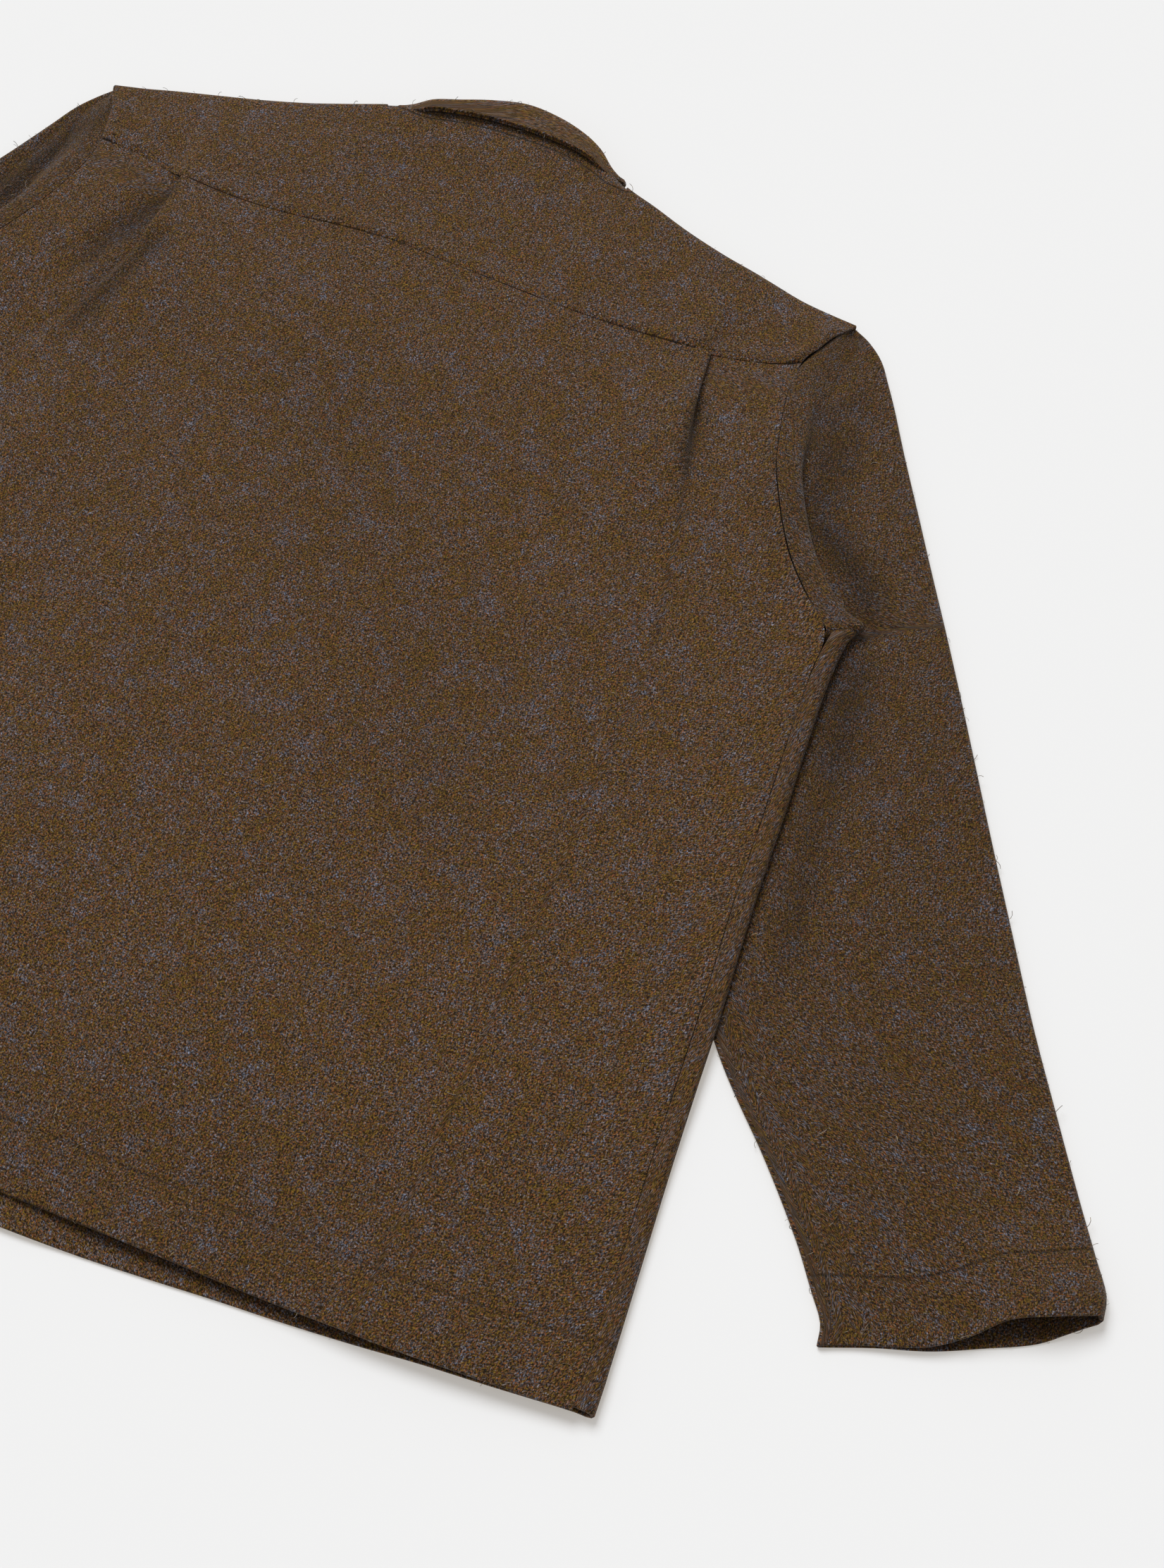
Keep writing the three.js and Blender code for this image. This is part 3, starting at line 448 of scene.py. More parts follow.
def with_soft_edge(points):
    """Close rows just inside both ends of the first axis, and each row's share of the thickness."""
    def near(edge, inner):
        way = inner - edge
        long_way = np.maximum(np.linalg.norm(way, axis=1), 1e-3)[:, None]
        return [edge + way * np.minimum(step / long_way, 0.3 + 0.2 * i)
                for i, step in enumerate(EDGE_STEPS)]

    head = near(points[0], points[1])
    tail = near(points[-1], points[-2])[::-1]
    rows = [points[0], *head, *points[1:-1], *tail, points[-1]]
    shares = [*EDGE_SHARES, *[1.0] * (len(points) - 2), *EDGE_SHARES[::-1]]
    return np.array(rows), np.array(shares)


def creased(points, creases):
    """Heights of soft ridges and troughs drawn as straight strokes on the cloth; the same strokes also give
    shares of painted shade.
    """
    height = np.zeros(points.shape[:2])
    for crease in creases:
        start = np.array((crease["x0"], crease["y0"]))
        way = np.array((crease["x1"], crease["y1"])) - start
        long_way = np.linalg.norm(way)
        way = way / long_way
        offset = points[..., :2] - start
        along = (offset @ way) / long_way
        bow = crease["bow"] * np.sin(np.pi * np.clip(along, 0, 1))
        aside = offset[..., 0] * way[1] - offset[..., 1] * way[0] - bow
        fade = np.clip(along / 0.35 + 0.25, 0, 1) * np.clip((1.25 - along) / 0.5, 0, 1)
        fade = fade * fade * (3 - 2 * fade)
        height += crease["rise"] * fade * np.exp(-((aside / crease["wide"]) ** 2))
    return height


def cloth(name, rows, cell=4.0, relief=None, thick=None, gap=None, nap_side=1, line=None,
          centre_column=0, painted_shade=None):
    """A soft cloth shell about a grid of points on its middle, with its grain as a UV map."""
    points, row_starts = refined(np.array(rows, dtype=float), cell)
    points, column_starts = refined(points.transpose(1, 0, 2), cell)
    points = points.transpose(1, 0, 2)
    gap_cells = None
    if gap is not None:
        gap_cells = (row_starts[gap[0]] + 3, column_starts[gap[1]] + 3, column_starts[gap[2]] + 3)
    points, row_shares = with_soft_edge(points)
    points, column_shares = with_soft_edge(points.transpose(1, 0, 2))
    points = points.transpose(1, 0, 2)
    if relief is not None:
        points[..., 2] += relief(points)
    down = np.gradient(points, axis=0)
    across = np.gradient(points, axis=1)
    normals = np.cross(across, down)
    normals /= np.maximum(np.linalg.norm(normals, axis=2), 1e-9)[..., None]
    half = CLOTH / 2 * row_shares[:, None] * column_shares[None, :]
    if thick is not None:
        thicker = thick(points)
        points[..., 2] += CLOTH / 2 * (thicker - 1)
        half = half * thicker
    points[..., 2] = np.maximum(points[..., 2], half + TABLE_CLEARANCE)
    across_steps = np.linalg.norm(np.diff(points, axis=1), axis=2)
    u = np.concatenate([np.zeros((len(points), 1)), np.cumsum(across_steps, axis=1)], axis=1)
    middle = column_starts[centre_column]
    u = u - u[:, middle:middle + 1]
    down_steps = np.linalg.norm(np.diff(points, axis=0), axis=2)
    v = np.concatenate([np.zeros((1, points.shape[1])), np.cumsum(down_steps, axis=0)])
    count_down, count_across = points.shape[:2]
    upper = points + normals * half[..., None]
    under = points - normals * half[..., None]
    everything = (np.concatenate([upper.reshape(-1, 3), under.reshape(-1, 3)]) + DRAWING_ZERO) / 1000
    has = np.ones((count_down - 1, count_across - 1), dtype=bool)
    if gap_cells is not None:
        has[gap_cells[0]:, gap_cells[1]:gap_cells[2]] = False
    index = np.arange(count_down * count_across).reshape(count_down, count_across)
    beneath = index + count_down * count_across
    rings = np.stack([index[:-1, :-1], index[:-1, 1:], index[1:, 1:], index[1:, :-1]], axis=-1)
    rings_beneath = rings + count_down * count_across
    faces = [rings[has], rings_beneath[has][:, ::-1]]
    beside = np.pad(has, 1)
    sides = (
        (0, 1, beside[:-2, 1:-1]),
        (1, 2, beside[1:-1, 2:]),
        (2, 3, beside[2:, 1:-1]),
        (3, 0, beside[1:-1, :-2]),
    )
    for a, b, neighbour in sides:
        bare = has & ~neighbour
        ring, low = rings[bare], rings_beneath[bare]
        faces.append(np.stack([ring[:, a], low[:, a], low[:, b], ring[:, b]], axis=-1))
    faces = np.concatenate(faces)
    used = np.unique(faces)
    renumber = np.full(len(everything), -1)
    renumber[used] = np.arange(len(used))
    mesh = bpy.data.meshes.new(name)
    mesh.from_pydata(everything[used].tolist(), [], renumber[faces].tolist())
    grain = np.stack([np.tile(u.ravel(), 2), np.tile(v.ravel(), 2)], axis=-1)
    grain = grain[used] / 1000
    corner_points = np.zeros(len(mesh.loops), dtype=np.int32)
    mesh.loops.foreach_get("vertex_index", corner_points)
    grain_map = mesh.uv_layers.new(name="grain")
    grain_map.data.foreach_set("uv", grain[corner_points].astype(np.float32).ravel())
    nap = np.zeros((2, count_down, count_across))
    nap[0 if nap_side > 0 else 1] = 1
    stitch = np.full((count_down, count_across), FAR_FROM_A_LINE)
    if line is not None:
        stitch = line(points, u, v)
    # Painted shade: the share, from 0 to 1, by which the tweed darkens this piece's wool at each point
    painted_shade_share = np.zeros((count_down, count_across))
    if painted_shade is not None:
        painted_shade_share = np.clip(painted_shade(points), 0, 1)
    fields = (
        ("nap", nap.ravel()[used]),
        ("line", np.tile(stitch.ravel(), 2)[used] / 1000),
        ("painted_shade", np.tile(painted_shade_share.ravel(), 2)[used]),
    )
    for label, values in fields:
        field = mesh.attributes.new(label, "FLOAT", "POINT")
        field.data.foreach_set("value", values.astype(np.float32))
    mesh.polygons.foreach_set("use_smooth", [True] * len(mesh.polygons))
    mesh.update()
    piece = bpy.data.objects.new(name, mesh)
    bpy.context.collection.objects.link(piece)
    shape = {"points": points, "half": half}
    return piece, shape


def node_in(tree, kind, links=None, **settings):
    """One node with its own settings; links names an input and what feeds it or its value."""
    node = tree.nodes.new(kind)
    for key, value in settings.items():
        setattr(node, key, value)
    for socket, source in (links or {}).items():
        if isinstance(source, bpy.types.NodeSocket):
            tree.links.new(source, node.inputs[socket])
        else:
            node.inputs[socket].default_value = source
    return node


def new_tree(name, kind, inputs, outputs):
    """A node tree with its named inputs and outputs; kind is Shader or Geometry."""
    tree = bpy.data.node_groups.new(name, f"{kind}NodeTree")
    for way, sockets in (("INPUT", inputs), ("OUTPUT", outputs)):
        for label, socket_kind in sockets.items():
            tree.interface.new_socket(label, in_out=way, socket_type=f"NodeSocket{socket_kind}")
    return tree, tree.nodes.new("NodeGroupInput").outputs, tree.nodes.new("NodeGroupOutput").inputs


def sum_of(tree, operation, a, b=0.0, c=None):
    links = {0: a, 1: b}
    if c is not None:
        links[2] = c
    return node_in(tree, "ShaderNodeMath", links, operation=operation).outputs[0]


def twill_group():
    """A two-and-two twill: floats of warp and weft, as a height and as which thread is on top."""
    tree, given, result = new_tree(
        "twill weave", "Shader",
        {"Grain": "Vector", "Warp Pitch": "Float", "Weft Pitch": "Float"},
        {"Height": "Float", "Warp On Top": "Float"},
    )
    place = node_in(tree, "ShaderNodeSeparateXYZ", {0: given["Grain"]})
    warp = sum_of(tree, "DIVIDE", place.outputs[0], given["Warp Pitch"])
    weft = sum_of(tree, "DIVIDE", place.outputs[1], given["Weft Pitch"])
    warp_part = sum_of(tree, "FRACT", warp)
    weft_part = sum_of(tree, "FRACT", weft)
    threads = sum_of(tree, "ADD", sum_of(tree, "FLOOR", warp), sum_of(tree, "FLOOR", weft))
    step = sum_of(tree, "FLOORED_MODULO", threads, 4.0)
    warp_up = sum_of(tree, "LESS_THAN", step, 1.5)
    warp_float = sum_of(tree, "MULTIPLY", sum_of(tree, "ADD", step, weft_part), math.pi / 2)
    weft_float = sum_of(tree, "ADD", sum_of(tree, "SUBTRACT", step, 2.0), warp_part)
    weft_float = sum_of(tree, "MULTIPLY", weft_float, math.pi / 2)
    heights = []
    for part, afloat in ((warp_part, warp_float), (weft_part, weft_float)):
        thread = sum_of(tree, "SINE", sum_of(tree, "MULTIPLY", part, math.pi))
        arch = sum_of(tree, "MAXIMUM", sum_of(tree, "SINE", afloat), 0.0)
        heights.append(sum_of(tree, "MULTIPLY", thread, sum_of(tree, "POWER", arch, 0.6)))
    height = node_in(tree, "ShaderNodeMix", {0: warp_up, 2: heights[1], 3: heights[0]})
    tree.links.new(height.outputs[0], result["Height"])
    tree.links.new(warp_up, result["Warp On Top"])
    return tree


# Colours of the dyed wool that is blended into the yarn
OLIVE = (0.112, 0.0660, 0.0080, 1)
BROWN = (0.104, 0.0500, 0.0120, 1)
RUST = (0.140, 0.0430, 0.0120, 1)
TAUPE = (0.100, 0.0640, 0.0440, 1)
GREY = (0.118, 0.0980, 0.0920, 1)
BLUE_GREY = (0.112, 0.1250, 0.1700, 1)
PALE_FIBRE = (0.40, 0.33, 0.22, 1)
WOOL_PLACES = (0.10, 0.30, 0.48, 0.62, 0.82, 1.0)
FIBRES_PER_METRE = 2200
WARP_PITCH = 0.00097
WEFT_PITCH = 0.0013


def ramp(tree, value, *stops):
    node = node_in(tree, "ShaderNodeValToRGB", {0: value})
    elements = node.color_ramp.elements
    while len(elements) < len(stops):
        elements.new(0.5)
    for element, (place, colour) in zip(elements, stops):
        element.position = place
        element.color = colour
    return node.outputs[0]


def stretched(tree, grain, long_u, long_v, shift=0.0):
    links = {
        "Vector": grain,
        "Scale": (1 / long_u, 1 / long_v, 1),
        "Location": (shift, shift * 0.37, 0),
    }
    return node_in(tree, "ShaderNodeMapping", links).outputs[0]


def noise(tree, vector, scale, detail=2.0, rough=0.5):
    return node_in(tree, "ShaderNodeTexNoise", {"Vector": vector, "Scale": scale, "Detail": detail,
                                               "Roughness": rough}, noise_dimensions="2D").outputs[0]


def mixed(tree, share, first, second):
    return node_in(tree, "ShaderNodeMix", {0: share, 6: first, 7: second}, data_type="RGBA").outputs[2]


def between(tree, value, low, high):
    return node_in(tree, "ShaderNodeMapRange", {0: value, 1: low, 2: high, 3: 0.0, 4: 1.0},
                   interpolation_type="SMOOTHSTEP").outputs[0]


def fibre_cells(tree, vector, scale):
    return node_in(tree, "ShaderNodeTexVoronoi", {"Vector": vector, "Scale": scale}, voronoi_dimensions="2D",
                   feature="F1").outputs["Color"]


def heather_group():
    """Blended wool: short brown, olive, rust and grey fibres that gather into small clouds."""
    tree, given, result = new_tree(
        "heathered wool", "Shader",
        {"Grain": "Vector", "Warp On Top": "Float", "Cool Share": "Float", "Depth": "Float"},
        {"Colour": "Color", "Tuft": "Float"},
    )
    grain = given["Grain"]
    along_warp = fibre_cells(tree, stretched(tree, grain, 1.0, 2.1), FIBRES_PER_METRE)
    along_weft = fibre_cells(tree, stretched(tree, grain, 2.1, 1.0, 3.1), FIBRES_PER_METRE)
    on_top = mixed(tree, given["Warp On Top"], along_weft, along_warp)
    fibre = node_in(tree, "ShaderNodeSeparateColor", {0: on_top})
    tuft = noise(tree, stretched(tree, grain, 1.0, 1.15, 5.3), 980, 3.0, 0.75)
    clouds = noise(tree, stretched(tree, grain, 1.0, 1.3, 7.7), 300, 4.0, 0.7)
    drift = noise(tree, stretched(tree, grain, 1.0, 1.2, 1.9), 60, 3.0, 0.65)
    pick = sum_of(tree, "MULTIPLY_ADD", fibre.outputs[0], 0.85, given["Cool Share"])
    pick = sum_of(tree, "MULTIPLY_ADD", sum_of(tree, "SUBTRACT", clouds, 0.5), 1.1, pick)
    pick = sum_of(tree, "MULTIPLY_ADD", sum_of(tree, "SUBTRACT", drift, 0.5), 0.9, pick)
    colour = ramp(tree, pick, *zip(WOOL_PLACES, (OLIVE, BROWN, RUST, TAUPE, GREY, BLUE_GREY)))
    tone = sum_of(tree, "MULTIPLY_ADD", sum_of(tree, "SUBTRACT", fibre.outputs[1], 0.5), 1.6, 1.0)
    tone = sum_of(tree, "MULTIPLY_ADD", sum_of(tree, "SUBTRACT", tuft, 0.5), 7.2, tone)
    # The tone scale given to the group: set lower or higher than plain for some pieces, it paints shade or
    # light into their colour
    tone = sum_of(tree, "MAXIMUM", sum_of(tree, "MULTIPLY", tone, given["Depth"]), 0.12)
    toned = node_in(tree, "ShaderNodeVectorMath", {0: colour, 3: tone}, operation="SCALE").outputs[0]
    stray = noise(tree, stretched(tree, grain, 1.0, 0.28, 9.2), 760, 1.0, 0.4)
    colour = mixed(tree, sum_of(tree, "MULTIPLY", between(tree, stray, 0.775, 0.83), 0.7), toned, PALE_FIBRE)
    tree.links.new(colour, result["Colour"])
    tree.links.new(sum_of(tree, "MULTIPLY_ADD", fibre.outputs[1], 0.35, tuft), result["Tuft"])
    return tree


TWILL = twill_group()
HEATHER = heather_group()
# Painted shade: the wool is darkened by up to this share under a piece's painted-shade strokes, in folds,
# valleys and low on the back
PAINTED_SHADE_STRENGTH = 0.5
# Painted shade along a sunk line of stitching: its share for each unit of groove depth, and the most it may
# reach
GROOVE_SHADE_PER_DEPTH = 0.5
DEEPEST_GROOVE_SHADE = 0.7
THREAD_WANDER = (0.0011, 0.0011, 0.0)
WANDERS_PER_METRE = 160.0
WEAVE_BUMP = {"Strength": 0.75, "Distance": 0.00045}
SHEEN = {"Weight": 0.22, "Roughness": 0.45, "Tint": (0.75, 0.66, 0.58, 1)}


def dimmed(tree, colour, share):
    shade = node_in(tree, "ShaderNodeMix", {0: 1.0, 6: colour}, data_type="RGBA", blend_type="MULTIPLY")
    tree.links.new(share, shade.inputs[7])
    return shade.outputs[2]


def tweed(name, cool_share=0.03, depth=0.83, line_depth=0.0, line_half=0.0008):
    """Brushed twill tweed on a piece's own grain, with a sunk line of stitching where it has one. Its colour
    holds painted shade between the threads, along the stitching and under a piece's painted-shade strokes;
    depth scales the wool's tone, and a depth below or above the plain one paints the piece shaded or lit.
    """
    material, tree, shader = new_material(name, 0.92, 0.15)
    place = node_in(tree, "ShaderNodeUVMap", uv_map="grain").outputs[0]
    wobble = node_in(tree, "ShaderNodeTexNoise", {"Vector": place, "Scale": WANDERS_PER_METRE, "Detail": 1.0},
                     noise_dimensions="2D").outputs["Color"]
    pull = node_in(tree, "ShaderNodeVectorMath", {0: wobble, 1: (0.5, 0.5, 0.5)},
                   operation="SUBTRACT").outputs[0]
    grain = node_in(tree, "ShaderNodeVectorMath", {0: pull, 1: THREAD_WANDER, 2: place},
                    operation="MULTIPLY_ADD").outputs[0]
    weave = node_in(tree, "ShaderNodeGroup", node_tree=TWILL)
    weave.inputs["Warp Pitch"].default_value = WARP_PITCH
    weave.inputs["Weft Pitch"].default_value = WEFT_PITCH
    tree.links.new(grain, weave.inputs["Grain"])
    wool = node_in(tree, "ShaderNodeGroup", node_tree=HEATHER)
    wool.inputs["Cool Share"].default_value = cool_share
    wool.inputs["Depth"].default_value = depth
    tree.links.new(grain, wool.inputs["Grain"])
    tree.links.new(weave.outputs["Warp On Top"], wool.inputs["Warp On Top"])
    # Painted shade and light: the wool is darker where the weave lies low between the threads and a little
    # lighter on their crowns
    shade_between_threads = sum_of(tree, "MULTIPLY_ADD", weave.outputs["Height"], 0.5, 0.66)
    colour = dimmed(tree, wool.outputs["Colour"], shade_between_threads)
    tufts = sum_of(tree, "MULTIPLY", wool.outputs["Tuft"], 0.9)
    height = sum_of(tree, "MULTIPLY_ADD", weave.outputs["Height"], 0.55, tufts)
    if line_depth:
        line = node_in(tree, "ShaderNodeAttribute", attribute_name="line")
        away = sum_of(tree, "DIVIDE", line.outputs["Fac"], line_half)
        squared = sum_of(tree, "POWER", sum_of(tree, "ABSOLUTE", away), 2.0)
        groove = sum_of(tree, "EXPONENT", sum_of(tree, "MULTIPLY", squared, -1.0))
        height = sum_of(tree, "SUBTRACT", height, sum_of(tree, "MULTIPLY", groove, line_depth))
        # Painted shade in the stitching groove
        groove_shade = sum_of(tree, "MULTIPLY", groove, min(DEEPEST_GROOVE_SHADE, line_depth * GROOVE_SHADE_PER_DEPTH))
        colour = dimmed(tree, colour, sum_of(tree, "SUBTRACT", 1.0, groove_shade))
    # Painted shade: the wool is darkened where the piece's painted-shade share is high
    painted_shade = node_in(tree, "ShaderNodeAttribute", attribute_name="painted_shade")
    unshaded_share = sum_of(tree, "MULTIPLY_ADD", painted_shade.outputs["Fac"], -PAINTED_SHADE_STRENGTH, 1.0)
    colour = node_in(tree, "ShaderNodeVectorMath", {0: colour, 3: unshaded_share}, operation="SCALE").outputs[0]
    bump = node_in(tree, "ShaderNodeBump", {**WEAVE_BUMP, "Height": height})
    tree.links.new(colour, shader.inputs["Base Color"])
    tree.links.new(bump.outputs[0], shader.inputs["Normal"])
    for label, value in SHEEN.items():
        shader.inputs[f"Sheen {label}"].default_value = value
    return material


def fuzz_material():
    """Loose wool ends: mostly brown and beige, with some grey and a few nearly white."""
    material, tree, shader = new_material("loose wool ends", 0.8, 0.25)
    place = node_in(tree, "ShaderNodeTexCoord").outputs["Object"]
    pick = node_in(tree, "ShaderNodeTexNoise", {"Vector": place, "Scale": 330.0, "Detail": 1.0}).outputs[0]
    colour = ramp(tree, pick, (0.30, FUZZ_BROWN), (0.46, FUZZ_OCHRE), (0.56, FUZZ_GREY), (0.72, PALE_FIBRE))
    tree.links.new(colour, shader.inputs["Base Color"])
    return material


def fuzz_tree():
    """Short bent wool ends scattered over the outer face of a cloth."""
    tree, given, result = new_tree(
        "wool fuzz", "Geometry",
        {"Geometry": "Geometry", "Ends Per Square Metre": "Float", "Shortest": "Float",
         "Extra Length": "Float", "Half Thickness": "Float", "Seed": "Int", "Material": "Material"},
        {"Geometry": "Geometry"},
    )
    outer = node_in(tree, "GeometryNodeInputNamedAttribute", {"Name": "nap"}, data_type="FLOAT").outputs[0]
    density = sum_of(tree, "MULTIPLY", outer, given["Ends Per Square Metre"])
    spots = node_in(tree, "GeometryNodeDistributePointsOnFaces",
                    {"Mesh": given["Geometry"], "Density": density, "Seed": given["Seed"]})
    bend = node_in(tree, "GeometryNodeCurveQuadraticBezier",
                   {"Resolution": 3, "Start": (0, 0, -0.02), "Middle": (0.35, 0.12, 0.55),
                    "End": (1.0, -0.1, 0.34)})
    ring = node_in(tree, "GeometryNodeCurvePrimitiveCircle",
                   {"Resolution": 3, "Radius": given["Half Thickness"]})
    hair = node_in(tree, "GeometryNodeCurveToMesh",
                   {"Curve": bend.outputs[0], "Profile Curve": ring.outputs[0], "Fill Caps": True})
    turn = node_in(tree, "FunctionNodeRandomValue",
                   {0: (-0.5, -0.5, 0.0), 1: (0.5, 0.35, 2 * math.pi), "Seed": given["Seed"]},
                   data_type="FLOAT_VECTOR")
    turned = node_in(tree, "FunctionNodeEulerToRotation", {0: turn.outputs[0]})
    facing = node_in(tree, "FunctionNodeRotateRotation",
                     {0: spots.outputs["Rotation"], 1: turned.outputs[0]}, rotation_space="LOCAL")
    chance = node_in(tree, "FunctionNodeRandomValue", {2: 0.0, 3: 1.0, "Seed": given["Seed"]},
                     data_type="FLOAT")
    rare = sum_of(tree, "POWER", chance.outputs[1], 4.0)
    length = sum_of(tree, "MULTIPLY_ADD", rare, given["Extra Length"], given["Shortest"])
    ends = node_in(tree, "GeometryNodeInstanceOnPoints",
                   {"Points": spots.outputs["Points"], "Instance": hair.outputs[0],
                    "Rotation": facing.outputs[0]})
    tree.links.new(length, ends.inputs["Scale"])
    real = node_in(tree, "GeometryNodeRealizeInstances", {0: ends.outputs[0]})
    spot = node_in(tree, "ShaderNodeSeparateXYZ", {0: node_in(tree, "GeometryNodeInputPosition").outputs[0]})
    above = sum_of(tree, "MAXIMUM", spot.outputs[2], FUZZ_LOWEST)
    pressed = node_in(tree, "ShaderNodeCombineXYZ", {0: spot.outputs[0], 1: spot.outputs[1], 2: above})
    flat = node_in(tree, "GeometryNodeSetPosition",
                   {"Geometry": real.outputs[0], "Position": pressed.outputs[0]})
    painted = node_in(tree, "GeometryNodeSetMaterial", {"Geometry": flat.outputs[0]})
    tree.links.new(given["Material"], painted.inputs["Material"])
    tree.links.new(painted.outputs[0], result[0])
    return tree


def grown(name, base, tree, **values):
    """A plain mesh piece made by a node tree from a base mesh; values name the tree's inputs."""
    piece = bpy.data.objects.new(name, base)
    bpy.context.collection.objects.link(piece)
    modifier = piece.modifiers.new(name, "NODES")
    modifier.node_group = tree
    for item in tree.interface.items_tree:
        label = item.name.lower().replace(" ", "_")
        if item.in_out == "INPUT" and label in values:
            modifier[item.identifier] = values[label]
    bpy.context.view_layer.update()
    whole = piece.evaluated_get(bpy.context.evaluated_depsgraph_get())
    plain = bpy.data.meshes.new_from_object(whole)
    piece.modifiers.remove(modifier)
    plain.name = name
    piece.data = plain
    return piece


FUZZ_BROWN = (0.085, 0.050, 0.022, 1)
FUZZ_OCHRE = (0.190, 0.125, 0.060, 1)
FUZZ_GREY = (0.200, 0.185, 0.185, 1)
FUZZ_PER_SQUARE_METRE = 26000.0
FUZZ_SHORTEST = 0.0009
FUZZ_EXTRA_LENGTH = 0.0042
FUZZ_HALF_THICKNESS = 0.035
FUZZ_LOWEST = 0.0001
FUZZ = fuzz_tree()
FUZZ_WOOL = fuzz_material()


def finish_piece(piece, material, node):
    """Give a cloth its tweed, grow its loose wool ends, hide the model's part that it replaces and attach
    both to the root.
    """
    piece.data.materials.append(material)
    fuzz = grown(f"{node}_fuzz", piece.data, FUZZ, ends_per_square_metre=FUZZ_PER_SQUARE_METRE,
                 shortest=FUZZ_SHORTEST, extra_length=FUZZ_EXTRA_LENGTH,
                 half_thickness=FUZZ_HALF_THICKNESS, seed=len(node) + 7, material=FUZZ_WOOL)
    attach(fuzz, "root")
    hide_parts(node)
    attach(piece, "root")


HEM_EXTRA = 0.3
HEM_EASE = 4


def hem_thickness(points, level, turning):
    """Cloth turned up at a hem is thicker: a share of the plain thickness."""
    rise = np.clip((level + turning - points[..., 1]) / HEM_EASE, 0, 1)
    return 1 + HEM_EXTRA * rise * rise * (3 - 2 * rise)


def turning_line(turning):
    """Distance from the line of stitching that holds a turned edge, such as a hem or cuff."""
    return lambda points, u, v: v[-1][None, :] - v - turning


FRONT_HEM_LEVEL = -655
front_tweed = tweed("front tweed", line_depth=0.9)
for side in ("right", "left"):
    piece, _ = cloth(
        f"front_{side}_cloth",
        front_rows(side),
        cell=5.5,
        thick=lambda points: hem_thickness(points, FRONT_HEM_LEVEL, HEM_TURNING),
        nap_side=-mirror_of(side),
        line=turning_line(HEM_TURNING),
    )
    finish_piece(piece, front_tweed, f"front_{side}")

# Sleeves
# One tube of tweed each, set into the armhole and swung down beside the body. The back ply
# goes over a soft band beside the armhole, dips under it and runs on to the folded outer edge.
SLEEVE_CAP_BAND = table(
    "along band",
    (0, 11),
    (170, 11),
    (184, 11.5),
    (200, 13.5),
    (205, 16.5),
    (210, 18),
)
CUFF_LIFT = 7.5
CUFF_ROUND = 2.5
CUFF_INNER_SHORT = 7.5
CUFF_TURNING = 34
SLEEVE_HUMP = 2.6
# Where the cloth beside the armhole turns under, by distance along the outer edge
SLEEVE_STATIONS = table(
    "along turn overlap hidden back",
    (0, 6, 0, 0, 0),
    (12, 9, 0, 0, 0),
    (27, 14, 0, 0, 0),
    (44, 22, 0, 0, 0),
    (62, 36, 0, 0, 0),
    (80, 62, 0, 0, 0),
    (94, 95, 0, 0, 90),
    (106, 128, 0, 12, 180),
    (122, 160, 0, 26, 180),
    (140, 180, 3, 46, 180),
    (162, 180, 7, 68, 180),
    (184, 180, 9, 84, 180),
)
TUBE_STATIONS = table(
    "past seam right left",
    (15, 0.05, 173.5, 165.5),
    (26, 0.1, 174, 166),
    (55, 0.25, 173, 165),
    (95, 0.5, 169.5, 162),
    (140, 0.75, 165, 158),
    (185, 0.95, 159.5, 153),
    (240, 1, 151.4, 145),
    (290, 1, 140.4, 136),
    (330, 1, 133.9, 130),
    (358, 1, 132, 127),
    (376, 1, 130.8, 125),
    (388, 1, 130.2, 124),
)
TUBE_LENGTH = 388


def fold_section(drop, turn_degrees, overlap, widest):
    """A fold in section: out, down round a crest, on, and out again, as ten places out and up."""
    turn = math.radians(turn_degrees)
    bend = 1 - math.cos(turn)
    full = turn_degrees > 179
    radius = drop / 4 if full else min(widest, 0.97 * drop / (2 * bend))
    run = overlap if full else (drop - 2 * radius * bend) / math.sin(turn)
    places = []
    for i in range(5):
        angle = turn * i / 4
        places.append((radius * math.sin(angle), -radius * (1 - math.cos(angle))))
    start_out = places[4][0] + run * math.cos(turn)
    start_up = places[4][1] - run * math.sin(turn)
    for i in range(5):
        angle = turn * (1 - i / 4)
        places.append((start_out + radius * (math.sin(turn) - math.sin(angle)),
                       start_up - radius * (math.cos(angle) - math.cos(turn))))
    return places


def edge_curve(side):
    """The sleeve's outer edge as a smooth curve: its points by distance along it."""
    corners = np.array(SLEEVES[side]["edge"], dtype=float)
    padded = np.concatenate([corners[:1], corners, corners[-1:]])
    fine = []
    for k in range(len(corners) - 1):
        p0, p1, p2, p3 = padded[k:k + 4]
        for j in range(60):
            s = j / 60
            fine.append(0.5 * ((2 * p1) + (p2 - p0) * s + (2 * p0 - 5 * p1 + 4 * p2 - p3) * s * s
                               + (3 * p1 - p0 - 3 * p2 + p3) * s**3))
    fine.append(corners[-1])
    fine = np.array(fine)
    travel = np.concatenate([[0], np.cumsum(np.linalg.norm(np.diff(fine, axis=0), axis=1))])
    return fine, travel


def distance_in(start, out, seam_at):
    near, far = 0.0, 200.0
    for _ in range(40):
        middle = (near + far) / 2
        if start[0] - middle * out[0] - seam_at(start[1] - middle * out[1]) > 0:
            near = middle
        else:
            far = middle
    return (near + far) / 2


